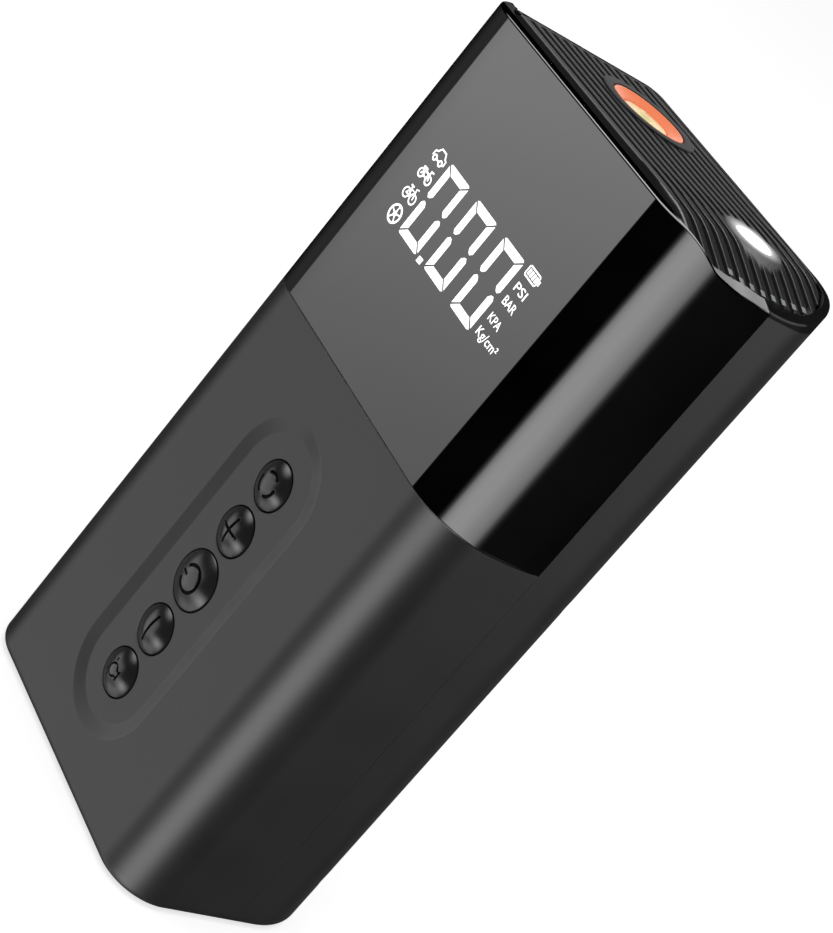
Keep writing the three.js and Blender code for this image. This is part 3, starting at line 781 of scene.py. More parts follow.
def build_panel():
    mesh = Mesh()
    rings = []

    def level(section, inset, height):
        rings.append(mesh.level(front_path(section, inset), height))

    for inset, rise in foot_round(0.08, 3):
        level(SHELL, inset, lambda x, y: edge_z(y) + 0.02 + rise)
    for inset, rise in top_round(0.4, 6):
        level(SHELL, inset, lambda x, y: panel_top(x, y) + rise)
    first_top = len(rings) - 1
    level(CAP, -0.42, lambda x, y: panel_top(x, y, True))
    level(CAP, -0.3, lambda x, y: panel_top(x, y, True) - 0.05)
    level(CAP, -0.25, lambda x, y: panel_top(x, y, True) - 0.2)
    level(CAP, -0.25, lambda x, y: min(152.4, panel_top(x, y) - 0.6))
    level(SHELL, PANEL_WALL, lambda x, y: min(152.3, panel_top(x, y) - 0.7))
    level(SHELL, PANEL_WALL, lambda x, y: edge_z(y) + 0.02)
    for k, (a, b) in enumerate(zip(rings, rings[1:])):
        for j in range(len(a) - 1):
            # the right-hand rim's top faces take the light grey: a painted reflection strip
            right_rim = abs(k - first_top) <= 1 and mesh.verts[a[j]][0] > 31.2
            mesh.face((a[j], a[j + 1], b[j + 1], b[j]), 1 if right_rim else 0)
    mesh.bridge(rings[-1], rings[0])
    mesh.face([r[0] for r in rings])
    mesh.face([r[-1] for r in rings][::-1])
    return mesh.make("display_panel_moulding", ["gloss_black", "panel_rim_painted_reflection"])


attach(build_panel(), "case", "gloss_black", "display_panel")

# ------------------------------------------------------------------ ribbed top
GROOVE_PITCH, REAR_GROOVE_Y, GROOVE_COUNT = 2.943, 19.89, 12
# half of a groove's section: (offset in y, depth), mirrored about its middle
GROOVE = [(-0.86, 0), (-0.76, 0.02), (-0.68, 0.10), (-0.62, 0.26), (-0.58, 0.5),
          (-0.54, 0.8), (-0.48, 0.96), (-0.4, 1.0), (0, 1.0)]
GROOVE += [(-offset, depth) for offset, depth in GROOVE[-2::-1]]
# y: drop of the plain border in front of the ribs
BORDER_Y, BORDER_DROP = -14.75, 0.3
BORDER = {BORDER_Y: 0.0, -14.86: 0.02, -14.95: 0.08, -15.02: 0.2, -15.08: 0.26,
          -15.2: BORDER_DROP, -21.0: BORDER_DROP, -22.99: BORDER_DROP}


def build_cap():
    groove_depth = {-23.0: 0.0, 25.0: 0.0}
    for k in range(GROOVE_COUNT):
        for offset, depth in GROOVE:
            groove_depth[round(REAR_GROOVE_Y - k * GROOVE_PITCH + offset, 4)] = depth
    for offset, depth in GROOVE:             # a smaller groove along the back
        groove_depth[22.75 + offset * 0.6] = depth * 0.6
    ys = sorted(set(groove_depth) | set(BORDER) | {-14.4, -13.9})
    xs = [-37.5, -36.4, -35.6, -35.2, -35.05, -34.95, -34.88, -34.8, -34.7, -34.55, -34.3]
    xs += lin(-33.5, 16, 8) + lin(17, 36.0, 34)
    mesh = Mesh()
    top, bottom = [], []
    for y in ys:
        groove = groove_depth.get(y, 0.0)
        drop = 0.0 if y >= BORDER_Y else BORDER.get(y, BORDER_DROP)
        # grooves fade out at the left end
        top.append(mesh.ring([(x, y, cap_z(x) - groove * smooth((x + 35.05) / 0.4) - drop)
                              for x in xs]))
        bottom.append(mesh.ring([(x, y, cap_z(x) - 2.2) for x in xs]))
    for a, b in zip(top, top[1:]):
        mesh.bridge(a, b)
    for a, b in zip(bottom, bottom[1:]):
        mesh.bridge(b, a)
    mesh.bridge(bottom[0], top[0])
    mesh.bridge(top[-1], bottom[-1])
    mesh.bridge([t[0] for t in top], [b[0] for b in bottom])
    mesh.bridge([b[-1] for b in bottom], [t[-1] for t in top])
    obj = mesh.make("top_cap_ribbed", ["cap_black"], weighted=False)
    boolean(obj, prism("cut", outline(CAP, 0.0, 28), 100, 170), "INTERSECT")

    def turned(profile, centre, operation):
        boolean(obj, lathe("cut", profile, centre, seg=120, weighted=False), operation)

    # plain bosses round the hose socket and the lamp, then their holes
    for centre, r, z in ((HOSE, 10.4, 155.3), (LAMP, 6.2, 155.12)):
        turned([(0, 153.2), (r, 153.2), (r, z - 0.22), (r - 0.06, z - 0.09), (r - 0.2, z),
                (0, z)], centre, "UNION")
    for centre, r in ((HOSE, 8.06), (LAMP, 3.86)):
        turned([(0, 140), (r, 140), (r, 154.8), (r + 0.3, 156), (0, 156)], centre,
               "DIFFERENCE")
    clean(obj, 1e-6)
    shade(obj, 40)
    for mat in ("cap_border", "cap_edge_painted_highlight", "cap_groove_painted_shade"):
        obj.data.materials.append(MAT[mat])
    border, line, groove = 1, 2, 3
    for face in obj.data.polygons:
        c = face.center / MM
        depth = cap_z(c.x) - c.z
        # a thin light strip at the border's inner edge: a painted highlight
        if c.y < -14.74 and depth < 0.6:
            face.material_index = line if c.y > -15.14 and depth < 0.16 else border
        # groove faces take the near-black: painted shade
        elif 0.07 < depth < 1.2:
            face.material_index = groove
    return obj


attach(build_cap(), "case", "cap_black", "top_cap")

# ------------------------------------------------------------------ hose socket
RING_PROFILE = [
    (5.15, 151.4), (9.9, 151.4), (10.0, 151.5), (10.0, 152.4), (9.9, 152.5), (7.9, 152.5),
    (7.9, 155.0), (7.86, 155.12), (7.76, 155.2), (7.6, 155.22), (7.45, 155.18),
    (7.3, 155.08), (7.1, 154.95), (6.4, 154.66), (5.6, 154.33), (5.3, 154.2),
    (5.15, 153.95)]
attach(lathe("hose_ring_turned", RING_PROFILE, HOSE, mats=["orange_trim"], sharp=50),
       "case", "orange_trim", "hose_ring")


def notch_face(r, h, angle):
    """Three small driving notches in the connector's face, near the rim."""
    if h > 154.05 and 2.4 < r < 4.45:
        for k in range(3):
            off = abs((angle - (0.5 + k * 2 * PI / 3) + PI) % (2 * PI) - PI)
            h -= 0.4 * (smooth((0.13 - off) / 0.05) * smooth((r - 3.4) / 0.15)
                        * smooth((4.4 - r) / 0.1))
    return r, h


CONNECTOR_FACE_Z = 154.2
THREAD_TOP_Z, THREAD_PITCH, THREAD_TURNS = 153.5, 0.6, 6
profile = [(1.45, 149.4), (2.6, 149.4), (2.6, 151.1), (4.8, 151.1), (4.9, 151.2),
           (4.9, 153.92), (4.86, 154.05), (4.76, 154.16)]
profile += [(r, CONNECTOR_FACE_Z) for r in
            (4.6, 4.5, 4.4, 4.3, 4.1, 3.8, 3.5, 3.4, 3.3, 3.2, 2.4, 2.0)]
profile += [(1.86, 154.16), (1.76, 154.05), (1.7, 153.8)]
for k in range(THREAD_TURNS):                # internal thread crests
    z = THREAD_TOP_Z - k * THREAD_PITCH
    profile += [(1.5, z), (1.42, z - 0.1), (1.42, z - 0.2), (1.66, z - 0.34),
                (1.66, z - 0.44)]
attach(lathe("hose_connector_turned", profile, HOSE, mats=["brass"], sharp=40,
             shape=notch_face, seg=180), "case", "brass", "hose_connector")

# ------------------------------------------------------------------ work lamp
LENS_PROFILE = [
    (0, 151.4), (4.5, 151.4), (4.6, 151.5), (4.6, 151.9), (4.5, 151.95), (3.7, 151.95),
    (3.7, 154.9), (3.62, 155.05), (3.45, 155.16), (3.1, 155.26), (2.5, 155.35),
    (1.8, 155.4), (0.9, 155.43), (0, 155.44)]
attach(lathe("lamp_lens_dome", LENS_PROFILE, LAMP, mats=["lamp_clear"], sharp=50, seg=96),
       "case", "lamp_clear", "lamp_lens")


# ------------------------------------------------------------------ keys: domes with signs
# Each sign gives the signed distance from a point to its strokes, negative inside.
def line_distance(p, a, b):
    px, py = p[0] - a[0], p[1] - a[1]
    dx, dy = b[0] - a[0], b[1] - a[1]
    t = max(0.0, min(1.0, (px * dx + py * dy) / (dx * dx + dy * dy)))
    return math.hypot(px - t * dx, py - t * dy)


def arc_distance(p, r, start, end, centre=(0, 0)):
    """Distance to an arc from start to end in degrees, anticlockwise."""
    x, y = p[0] - centre[0], p[1] - centre[1]
    if (math.degrees(math.atan2(y, x)) - start) % 360 <= end - start:
        return abs(math.hypot(x, y) - r)
    return min(math.hypot(x - r * math.cos(t), y - r * math.sin(t))
               for t in (math.radians(start), math.radians(end)))


def sign_mode(p):
    return min(arc_distance(p, 2.3, a - 36, a + 36) for a in (0, 120, 240)) - 0.26


def sign_plus(p):
    return min(line_distance(p, (-2.6, 0), (2.6, 0)),
               line_distance(p, (0, -2.25), (0, 2.25))) - 0.26


def sign_minus(p):
    return line_distance(p, (-2.7, 0), (2.7, 0)) - 0.26


def sign_power(p):
    return min(arc_distance(p, 2.6, 122, 418), line_distance(p, (0, 1.35), (0, 2.75))) - 0.27


def sign_light(p):
    """A bulb with five short rays."""
    d = min(arc_distance(p, 1.25, -62, 242, (0, 0.35)),
            line_distance(p, (-0.62, -0.75), (-0.55, -1.45)),
            line_distance(p, (0.62, -0.75), (0.55, -1.45)),
            line_distance(p, (-0.95, -1.5), (0.95, -1.5)))
    for angle in (25, 58, 90, 122, 155):
        c, s = math.cos(math.radians(angle)), math.sin(math.radians(angle))
        d = min(d, line_distance(p, (1.85 * c, 0.35 + 1.85 * s), (2.2 * c, 0.35 + 2.2 * s)))
    return d - 0.16


SIGNS = {"mode": sign_mode, "plus": sign_plus, "power": sign_power, "minus": sign_minus,
         "light": sign_light}
DOME_EDGE_Y, DOME_APEX_Y, DOME_STEPS = -24.15, -25.8, 64
FLANGE, FLANGE_BACK_Y, FLANGE_FRONT_Y = 0.5, -21.4, -22.2
SIGN_DEPTH = 0.34


def build_key(key, z):
    r, sign = KEY_RADII[key], SIGNS[key]
    rise = DOME_EDGE_Y - DOME_APEX_Y
    sphere = (r * r + rise * rise) / (2 * rise)
    profile = [(0, FLANGE_BACK_Y), (r + FLANGE, FLANGE_BACK_Y),
               (r + FLANGE + 0.05, FLANGE_BACK_Y - 0.05),
               (r + FLANGE + 0.05, FLANGE_FRONT_Y + 0.05), (r + FLANGE, FLANGE_FRONT_Y),
               (r, FLANGE_FRONT_Y), (r, DOME_EDGE_Y + 0.12), (r - 0.03, DOME_EDGE_Y + 0.02)]
    for i in range(1, DOME_STEPS + 1):
        rho = (r - 0.05) * (1 - i / DOME_STEPS)
        profile.append((rho, DOME_APEX_Y + sphere - math.sqrt(sphere * sphere - rho * rho)))

    def engrave(rr, h, a):
        if h < -24.2 or (rr < r - 0.2 and h < -24.0):
            # the signs' upper side is towards -X
            d = sign((rr * math.sin(a), -rr * math.cos(a)))
            h += SIGN_DEPTH * smooth(0.5 - d / 0.12)
        return rr, h

    obj = lathe(key + "_button_cap", profile, (KEYPAD_X, z), axis="y", seg=168,
                mats=["button_black", "key_sign_painted_shade"], sharp=60, shape=engrave, weighted=False)
    # faces inside a sign take the near-black: painted shade in the engraved strokes
    for face in obj.data.polygons:
        c = face.center / MM
        if c.y < -23.6 and sign((c.z - z, -(c.x - KEYPAD_X))) < -0.01:
            face.material_index = 1
    attach(obj, key + "_key", "button_black", key + "_button")


for key, z in KEYS.items():
    build_key(key, z)

# ------------------------------------------------------------------ lit display
PLATE_FRONT_Y, PLATE_BACK_Y = FRONT_Y - 0.025, FRONT_Y + 0.25


class Plates:
    """Thin closed plates on the panel's face, drawn in x,z."""

    def __init__(self):
        self.mesh = Mesh()

    def ring(self, points, y):
        return self.mesh.ring([(x, y, z) for x, z in points])

    def poly(self, points):
        area = sum(a[0] * b[1] - b[0] * a[1] for a, b in zip(points, points[1:] + points[:1]))
        if area < 0:
            points = points[::-1]
        front, back = self.ring(points, PLATE_FRONT_Y), self.ring(points, PLATE_BACK_Y)
        self.mesh.face(front)
        self.mesh.face(back[::-1])
        self.mesh.bridge(back, front, closed=True)

    def stroke(self, points, width, closed=False):
        """A ribbon along a polyline, with round ends unless closed."""
        n = len(points)
        left, right = [], []
        for i, p in enumerate(points):
            a = points[(i - 1) % n] if (closed or i > 0) else p
            b = points[(i + 1) % n] if (closed or i < n - 1) else p
            t = Vector((b[0] - a[0], b[1] - a[1])).normalized()
            nx, nz = -t.y * width / 2, t.x * width / 2
            left.append((p[0] + nx, p[1] + nz))
            right.append((p[0] - nx, p[1] - nz))
        if closed:
            rings = [self.ring(left, PLATE_FRONT_Y), self.ring(right, PLATE_FRONT_Y),
                     self.ring(left, PLATE_BACK_Y), self.ring(right, PLATE_BACK_Y)]
            for a, b in ((0, 1), (1, 3), (3, 2), (2, 0)):
                self.mesh.bridge(rings[a], rings[b], closed=True)
            return

        def round_end(p, q):
            d = Vector((p[0] - q[0], p[1] - q[1])).normalized()
            middle = math.atan2(d.y, d.x)
            return [(p[0] + width / 2 * math.cos(middle + t),
                     p[1] + width / 2 * math.sin(middle + t))
                    for t in lin(PI / 2, -PI / 2, 6)[1:-1]]

        self.poly(left + round_end(points[-1], points[-2])
                  + right[::-1] + round_end(points[0], points[1]))

    def circle(self, centre, r, width, n):
        angles = [2 * PI * k / n for k in range(n)]
        self.stroke([(centre[0] + r * math.cos(a), centre[1] + r * math.sin(a))
                     for a in angles], width, closed=True)

    def make(self, name):
        attach(self.mesh.make(name, ["display_lit"], weighted=False), "case", "lamp_clear")


DIGIT_LEFTS, DIGIT_Z = (-14.85, -4.22, 6.33), 116.35


def draw_digit(plates, x0, z0, w=7.35, h=15.3, bar=1.62):
    """A seven-segment zero: top bar, bottom bar and two bars down each side."""
    gap, corner, mid = 0.16, 0.42, h / 2

    def segment(*points):
        plates.poly([(x0 + a, z0 + b) for a, b in points])

    segment((gap + corner, h), (w - gap - corner, h), (w - gap, h - corner * 0.6),
            (w - bar - gap, h - bar), (bar + gap, h - bar), (gap, h - corner * 0.6))
    segment((gap + corner, 0), (gap, corner * 0.6), (bar + gap, bar), (w - bar - gap, bar),
            (w - gap, corner * 0.6), (w - gap - corner, 0))
    for mirrored in (False, True):
        xs = [w - a if mirrored else a for a in (0, 0, 0.55, 1.1, bar, bar)]
        segment(*zip(xs, (h - corner - gap, mid + 0.95, mid + 0.4, mid + 0.55, mid + 1.15,
                          h - bar - gap * 1.6)))
        segment(*zip(xs, (corner + gap, mid - 0.95, mid - 0.4, mid - 0.55, mid - 1.15,
                          bar + gap * 1.6)))


figures = Plates()
for x in DIGIT_LEFTS:
    draw_digit(figures, x, DIGIT_Z)
figures.poly([(-6.75, 115.9), (-5.35, 115.98), (-5.3, 117.15), (-6.7, 117.07)])
figures.make("display_figures")


def draw_car(plates, width=0.34):
    plates.stroke([(-20.1, 129.95), (-20.05, 130.75), (-19.4, 131.0), (-18.85, 131.8),
                   (-17.35, 131.8), (-16.75, 131.0), (-16.2, 130.8), (-16.15, 129.95),
                   (-16.45, 129.85)], width)
    plates.stroke([(-18.65, 129.8), (-17.75, 129.8)], width)
    for x in (-19.2, -17.15):
        plates.circle((x, 129.8), 0.48, width, 18)


def draw_motorbike(plates, thin=0.34, thick=0.42):
    for x in (-19.5, -16.85):
        plates.circle((x, 126.15), 0.78, thin, 22)
    plates.stroke([(-19.5, 126.15), (-18.7, 127.05), (-17.6, 127.0), (-16.95, 126.2)], thick)
    plates.stroke([(-18.75, 126.1), (-17.75, 126.15), (-17.55, 126.9)], thin)
    plates.stroke([(-17.3, 127.0), (-17.45, 127.75), (-16.75, 127.8)], thin)
    plates.stroke([(-19.7, 127.35), (-18.7, 127.4)], thick)


def draw_bicycle(plates, tube=0.28):
    rear, front, crank = (-19.35, 121.8), (-16.95, 121.8), (-18.2, 121.75)
    for hub in (rear, front):
        plates.circle(hub, 0.9, 0.3, 22)
    plates.stroke([rear, (-18.75, 122.95), (-17.35, 122.95), crank, (-19.3, 121.8)], tube)
    plates.stroke([crank, (-18.95, 123.4)], tube)
    plates.stroke([(-19.3, 123.45), (-18.6, 123.45)], 0.36)
    plates.stroke([front, (-17.55, 123.7), (-16.95, 123.8)], tube)


def draw_ball(plates, x=-18.15, z=117.7):
    plates.circle((x, z), 1.68, 0.42, 36)
    angles = [PI / 2 + k * 2 * PI / 5 for k in range(5)]

    def spoke(r, a):
        return x + r * math.cos(a), z + r * math.sin(a)

    plates.poly([spoke(0.62, a) for a in angles])
    for a in angles:
        plates.stroke([spoke(0.66, a), spoke(1.5, a)], 0.26)


def draw_battery(plates, cells=4, pitch=0.78):
    plates.stroke([(15.35, 130.35), (18.55, 130.35), (18.75, 130.55), (18.75, 132.05),
                   (18.55, 132.25), (15.35, 132.25), (15.15, 132.05), (15.15, 130.55)],
                  0.3, closed=True)
    boxes = [(15.55 + k * pitch, 16.12 + k * pitch, 130.72, 131.88) for k in range(cells)]
    for x0, x1, z0, z1 in boxes + [(18.95, 19.4, 130.85, 131.75)]:
        plates.poly([(x0, z0), (x1, z0), (x1, z1), (x0, z1)])


icons = Plates()
for draw in (draw_car, draw_motorbike, draw_bicycle, draw_ball, draw_battery):
    draw(icons)
icons.make("display_icons")


def label(name, text, x0, x1, z0, z1):
    """Raised text stretched to fill a box on the panel's face."""
    curve = bpy.data.curves.new(name, "FONT")
    curve.body = text
    curve.size = 1.0
    curve.offset = 0.004
    curve.extrude = 0.05
    curve.resolution_u = 4
    source = bpy.data.objects.new(name + "_t", curve)
    SCENE.collection.objects.link(source)
    depsgraph = bpy.context.evaluated_depsgraph_get()
    data = bpy.data.meshes.new_from_object(source.evaluated_get(depsgraph))
    bpy.data.objects.remove(source)
    points = np.array([v.co for v in data.vertices])
    low, high = points.min(0), points.max(0)
    for v in data.vertices:
        u, w, d = ((v.co[i] - low[i]) / (high[i] - low[i]) for i in range(3))
        v.co = Vector((x0 + (x1 - x0) * u, PLATE_BACK_Y - 0.275 * d,
                       z0 + (z1 - z0) * w)) * MM
    data.name = name
    paint(data, "display_lit")
    obj = bpy.data.objects.new(name, data)
    SCENE.collection.objects.link(obj)
    clean(obj, 1e-7)
    shade(obj, 30, weighted=False)
    attach(obj, "case", "lamp_clear")


label("unit_psi", "PSI", 15.35, 18.9, 127.15, 128.85)
label("unit_bar", "BAR", 15.3, 19.1, 124.2, 125.85)
label("unit_kpa", "KPA", 15.2, 18.9, 120.45, 122.05)
label("unit_kgcm2", "Kg/cm²", 15.1, 21.9, 116.75, 119.0)

# ------------------------------------------------------------------ painted highlights at the rib ends
RIB_END_HIGHLIGHTS = ((32.05, -5.74), (32.78, -2.99), (32.95, -0.17), (33.11, 2.77), (33.02, 5.76),
             (32.8, 8.69), (32.54, 11.79), (32.11, 14.89))            # x, y
MARK_HALF, MARK_BEVEL = 0.60, 0.09


# small raised squares: their light tops are painted highlights for rib ends catching the lamp's
# light, their sides take the groove's painted shade
def build_rib_end_highlights():
    mesh = Mesh()
    for x, y in RIB_END_HIGHLIGHTS:
        rings = []
        for half, rise in ((MARK_HALF, -1.15), (MARK_HALF, 0.05),
                           (MARK_HALF - MARK_BEVEL * 0.3, 0.10),
                           (MARK_HALF - MARK_BEVEL, 0.13)):
            square = [(x + sx * half, y + sy * half)
                      for sx, sy in ((-1, -1), (1, -1), (1, 1), (-1, 1))]
            rings.append(mesh.level(square, lambda px, py: cap_z(px) + rise))
        mesh.stack(rings)
    obj = mesh.make("rib_end_highlights", ["rib_end_highlight", "cap_groove_painted_shade"], sharp=30, weighted=False)
    for face in obj.data.polygons:
        face.material_index = 0 if face.normal.z > 0.55 else 1
    return obj


attach(build_rib_end_highlights(), "case", "cap_black")

# ------------------------------------------------------------------ studio surround
# Each zone is (gain, azimuth stops, elevation stops). A stop is (degrees, brightness);
# azimuth is 0 in front (-Y) and 90 at +X.
ALL_ROUND = [(-180, 1), (180, 1)]
GLOSS_ZONES = [
    # broad soft box mirrored by the flat front, fading downwards
    (3.5, [(-180, 0), (-49.4, 0), (-48.9, 1), (-41.6, 1), (-40.6, 0), (180, 0)],
     [(-90, 0.3), (-24, 0.4), (-18.3, 0.58), (-14.8, 0.76), (-11.3, 0.97), (-8, 1.0), (0, 0)]),
    # dim room to the left, and the tall strip mirrored by the right-hand rounding
    (7.0, [(-180, 0.03), (-120, 0.001), (-104, 0.003), (-88, 0.012), (-68, 0.034),
           (-49, 0.046), (-48.5, 0), (34, 0), (38, 0.03), (42, 0.16), (47, 0.6), (54, 0.83),
           (62, 0.92), (78, 0.92), (90, 0.82), (102, 0.68), (114, 0.55), (124, 0.36),
           (131, 0.13), (137, 0.04), (139.2, 0.008), (140.5, 0.004), (165, 0.004),
           (180, 0.03)],
     [(-90, 0.2), (-40, 0.6), (-28, 1), (-2, 1), (4, 0), (90, 0)]),
    # ceiling soft box: top fillets only
    (8.0, ALL_ROUND, [(-90, 0), (34, 0), (46, 1), (90, 1)]),
]
KEY_ZONES = [
    (1.25, [(-180, 0), (-74, 0), (-60, 1), (-24, 1), (-12, 0), (180, 0)],
     [(-90, 0), (-46, 0), (-36, 1), (-4, 1), (6, 0), (90, 0)]),
    (5.0, [(-180, 0), (-26, 0), (-6, 0.6), (7, 1), (18, 0.7), (30, 0), (180, 0)],
     [(-90, 0), (-64, 0), (-50, 0.3), (-35, 1), (-27, 0.6), (-18, 0), (90, 0)]),
    (1.3, [(-180, 0), (-90, 0), (-68, 0.6), (-15, 1), (12, 0), (180, 0)],
     [(-90, 0.3), (-56, 1), (-48, 0.4), (-40, 0), (90, 0)]),
    (4.2, [(-180, 0), (-78, 0), (-58, 0.7), (-42, 1), (-26, 0.7), (-8, 0), (180, 0)],
     [(-90, 0), (17, 0), (23, 0.2), (29, 0.8), (34, 1), (45, 0.9), (60, 0.3), (90, 0)]),
    (0.12, ALL_ROUND, [(-90, 1), (90, 1)]),
]
RIB_LOW_ZONES = [
    (1.0, [(-180, 1), (-120, 1), (-100, 0), (150, 0), (180, 1)],
     [(-90, 0), (-4, 0.0), (2, 0.56), (10, 0.68), (16, 0.46), (24, 0.05), (32, 0),
      (90, 0.0)]),
]
RIB_HIGH_ZONES = [
    (6.0, [(-180, 0), (-134, 0), (-110, 1), (-50, 1), (-20, 0.4), (0, 0), (180, 0)],
     [(-90, 0), (38, 0), (45, 1), (66, 1), (80, 0)]),
]
SOCKET_ZONES = [
    (1.15, ALL_ROUND, [(-90, 0.25), (-10, 0.4), (4, 0.85), (14, 1.0), (40, 0.7), (90, 0.6)]),
]
MATTE_ZONES = [
    (2.2, [(-180, 0.06), (-118, 0.05), (-104, 0.012), (-76, 0.0), (-62, 0.16), (-52, 0.7),
           (-34, 1), (-24, 0.1), (180, 0)],
     [(-90, 0.6), (-35, 1), (0, 1), (10, 0.3), (90, 0.1)]),
    (5.6, [(-180, 0), (6, 0), (17, 0.85), (36, 1), (52, 0.75), (62, 0.08), (68, 0),
           (180, 0)],
     [(-90, 0.6), (-40, 1), (-5, 0.9), (10, 0.2), (40, 0.1), (90, 0.1)]),
    (2.5, [(-180, 0.3), (-179, 0), (112, 0), (128, 0.8), (140, 1), (148, 0.5), (160, 0.05),
           (180, 0)],
     [(-90, 0), (-28, 0), (-20, 0.08), (-13, 0.4), (-6, 0.85), (0, 1), (8, 0.9), (18, 0.1),
      (28, 0), (90, 0)]),
]
BAND_ZONES = [                              # the bevelled band round the keypad
    (0.75, [(-180, 0), (-108, 0), (-90, 1), (-60, 1), (-50, 0.4), (-38, 0), (180, 0)],
     [(-90, 0.6), (-35, 1), (0, 1), (10, 0.3), (90, 0.1)]),
]


def surround_light(g):
    """Brightness by ray direction, with zones chosen by where on the pump the ray starts."""
    geometry, path = g.node("NewGeometry"), g.node("LightPath")
    incoming = geometry.outputs["Incoming"]
    back = g.node("VectorMath", {0: incoming, "Scale": path.outputs["Ray Length"]},
                  operation="SCALE")
    origin = g.node("VectorMath", {0: geometry.outputs["Position"], 1: back.outputs[0]},
                    operation="ADD")
    x, y, z = g.node("SeparateXYZ", {0: origin.outputs[0]}).outputs
    toward = g.node("SeparateXYZ", {0: incoming}).outputs
    azimuth = g.math("ARCTAN2", g.times(toward[0], -1.0), toward[1])
    azimuth = g.plus(g.times(azimuth, 1 / (2 * PI)), 0.5)
    elevation = g.math("ARCSINE", g.times(toward[2], -1.0))
    elevation = g.plus(g.times(elevation, 1 / PI), 0.5)

    def total(zones):
        return g.plus(*[g.times(g.ramp(azimuth, [((d + 180) / 360, v) for d, v in around]),
                                g.ramp(elevation, [((d + 90) / 180, v) for d, v in up]),
                                gain) for gain, around, up in zones])

    def outside(mask):
        return g.minus(1.0, mask)

    def squared_from(u, v, centre):
        return g.squares(g.minus(u, centre[0] * MM), g.minus(v, centre[1] * MM))

    # the ribbed top, less what lies outside its rear right corner
    on_top = g.times(g.above(z, 150.9), g.above(y, -21.42), g.above(x, -36.08),
                     g.below(x, 33.87))
    centre = (20.75, 10.5)
    beyond = g.math("GREATER_THAN", squared_from(x, y, centre), (13.05 * MM) ** 2)
    corner = g.times(g.above(x, centre[0]), g.above(y, centre[1]), beyond)
    on_top = g.times(on_top, outside(corner))
    # the glossy panel, above its sloping lower edge
    slope = g.minus(z, g.times(y, -0.086))
    on_panel = g.times(g.below(y, 2.68), g.above(slope, 89.99), outside(on_top))
    hits = [g.math("LESS_THAN", squared_from(x, z, (KEYPAD_X, key_z)),
                   ((KEY_RADII[key] + 0.02) * MM) ** 2) for key, key_z in KEYS.items()]
    on_key = g.times(g.plus(*hits), g.below(y, -22.0))

    in_socket = g.math("LESS_THAN", squared_from(x, y, HOSE), (8.0 * MM) ** 2)
    border = outside(g.times(g.below(y, -15.12), 0.8))
    # 1 on the level part of the ribs, fading to 0 where they roll down
    level = outside(g.math("MULTIPLY", g.minus(x, 15 * MM), 1 / (7 * MM), clamp=True))
    low = g.times(total(RIB_LOW_ZONES), level)
    high = g.times(total(RIB_HIGH_ZONES), outside(g.times(level, 0.8)))
    top = g.choose(in_socket, total(SOCKET_ZONES), g.times(g.plus(low, high), border))

    # distance from the middle line of the keypad
    held = g.math("MAXIMUM", z, (KEYPAD_Z - KEYPAD_HALF_STRAIGHT) * MM)
    held = g.math("MINIMUM", held, (KEYPAD_Z + KEYPAD_HALF_STRAIGHT) * MM)
    side, rise = g.minus(x, KEYPAD_X * MM), g.minus(z, held)
    away = g.math("SQRT", g.squares(side, rise))
    turn = g.math("ADD", g.times(g.math("DIVIDE", side, away), 1.6), -0.1, clamp=True)
    on_band = g.times(g.below(y, -15), g.below(z, 90), g.above(away, KEYPAD_RADIUS - 3.15),
                      g.below(away, KEYPAD_RADIUS - 0.05), turn)
    on_rim = g.times(g.above(z, 149.8), g.above(y, 2.69), g.above(x, 20))
    shells = g.plus(total(MATTE_ZONES), g.times(total(BAND_ZONES), on_band))
    shells = g.times(shells, outside(g.times(on_rim, 0.85)))
    others = g.choose(on_key, total(KEY_ZONES), g.choose(on_top, top, shells))
    return g.choose(on_panel, total(GLOSS_ZONES), others)


def build_surround():
    """A distant sphere seen only in reflections."""
    data = bpy.data.meshes.new("surround")
    bm = bmesh.new()
    bmesh.ops.create_icosphere(bm, subdivisions=4, radius=5.0)
    for face in bm.faces:
        face.normal_flip()
    bm.to_mesh(data)
    bm.free()
    obj = bpy.data.objects.new("surround", data)
    obj.location = (0, 0, 0.09)
    SCENE.collection.objects.link(obj)
    for rays in ("camera", "diffuse", "shadow", "transmission", "volume_scatter"):
        setattr(obj, "visible_" + rays, False)
    material = bpy.data.materials.new("surround")
    g = Graph(material)
    emission = g.node("Emission", {"Strength": surround_light(g)})
    g.node("OutputMaterial", {0: emission.outputs[0]})
    material.cycles.emission_sampling = "NONE"
    data.materials.append(material)


build_surround()


# ------------------------------------------------------------------ world, floor, light, camera
def build_world():
    """White to the camera, dim fill for diffuse rays, nothing for reflections."""
    world = bpy.data.worlds.new("studio")
    SCENE.world = world
    g = Graph(world)
    path = g.node("LightPath")
    seen = g.times(path.outputs["Is Camera Ray"], 1.0)
    fill = g.times(path.outputs["Is Diffuse Ray"], 0.32)
    background = g.node("Background", {"Strength": g.plus(seen, fill)})
    g.node("OutputWorld", {0: background.outputs[0]})


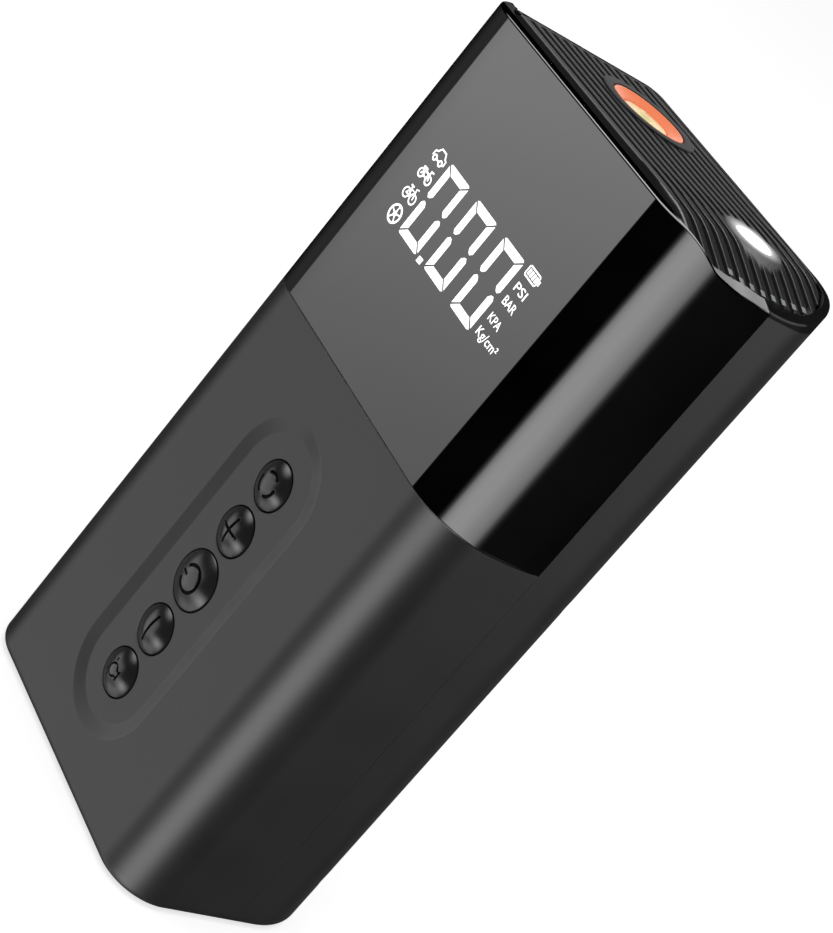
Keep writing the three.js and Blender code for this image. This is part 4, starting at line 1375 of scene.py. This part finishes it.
def build_floor(half=12, z=-0.0003):
    data = bpy.data.meshes.new("floor")
    data.from_pydata([(-half, -half, z), (half, -half, z), (half, half, z), (-half, half, z)],
                     [], [(0, 1, 2, 3)])
    floor = bpy.data.objects.new("floor", data)
    SCENE.collection.objects.link(floor)
    material = bpy.data.materials.new("pale_floor")
    g = Graph(material)
    drift = g.noise(g.object_coordinates(), scale=4.0)
    colour = g.mix(drift, (0.80, 0.80, 0.80), (0.84, 0.84, 0.84))
    diffuse = g.node("BsdfDiffuse", {"Color": colour})
    emission = g.node("Emission", {"Strength": 0.70})
    both = g.node("AddShader", {0: diffuse.outputs[0], 1: emission.outputs[0]})
    g.node("OutputMaterial", {0: both.outputs[0]})
    data.materials.append(material)
    floor.visible_glossy = False


def softbox(name, location, target, width, height, watts):
    light = bpy.data.lights.new(name, "AREA")
    light.shape, light.size, light.size_y = "RECTANGLE", width, height
    light.energy = watts
    obj = bpy.data.objects.new(name, light)
    SCENE.collection.objects.link(obj)
    obj.location = location
    obj.rotation_mode = "QUATERNION"
    direction = Vector(target) - Vector(location)
    obj.rotation_quaternion = direction.to_track_quat("-Z", "Y")
    obj.visible_camera = False
    obj.visible_glossy = False


def build_camera():
    camera = bpy.data.cameras.new("camera")
    obj = bpy.data.objects.new("camera", camera)
    SCENE.collection.objects.link(obj)
    right = (0.41193816, 0.67802768, 0.60875728)
    up = (-0.64770671, -0.25202587, 0.71899859)
    backward = (0.64092353, -0.69047913, 0.33534400)
    pose = Matrix((right, up, backward)).transposed().to_4x4()
    pose.translation = Vector((0.29758608, -0.31626361, 0.23600712))
    obj.matrix_world = pose
    camera.sensor_width = 36.0
    camera.lens = 98.5615563
    camera.shift_x, camera.shift_y = -0.0044512326, 0.0129614148
    camera.clip_start, camera.clip_end = 0.01, 100
    SCENE.camera = obj


build_world()
build_floor()
softbox("softbox_top", location=(0.1, -0.2, 1.6), target=(0, 0, 0.08), width=1.4, height=1.4,
        watts=9.0)
build_camera()
SCENE.view_settings.view_transform = "Standard"
SCENE.view_settings.look = "None"
SCENE.view_settings.exposure = 0
SCENE.view_settings.gamma = 1
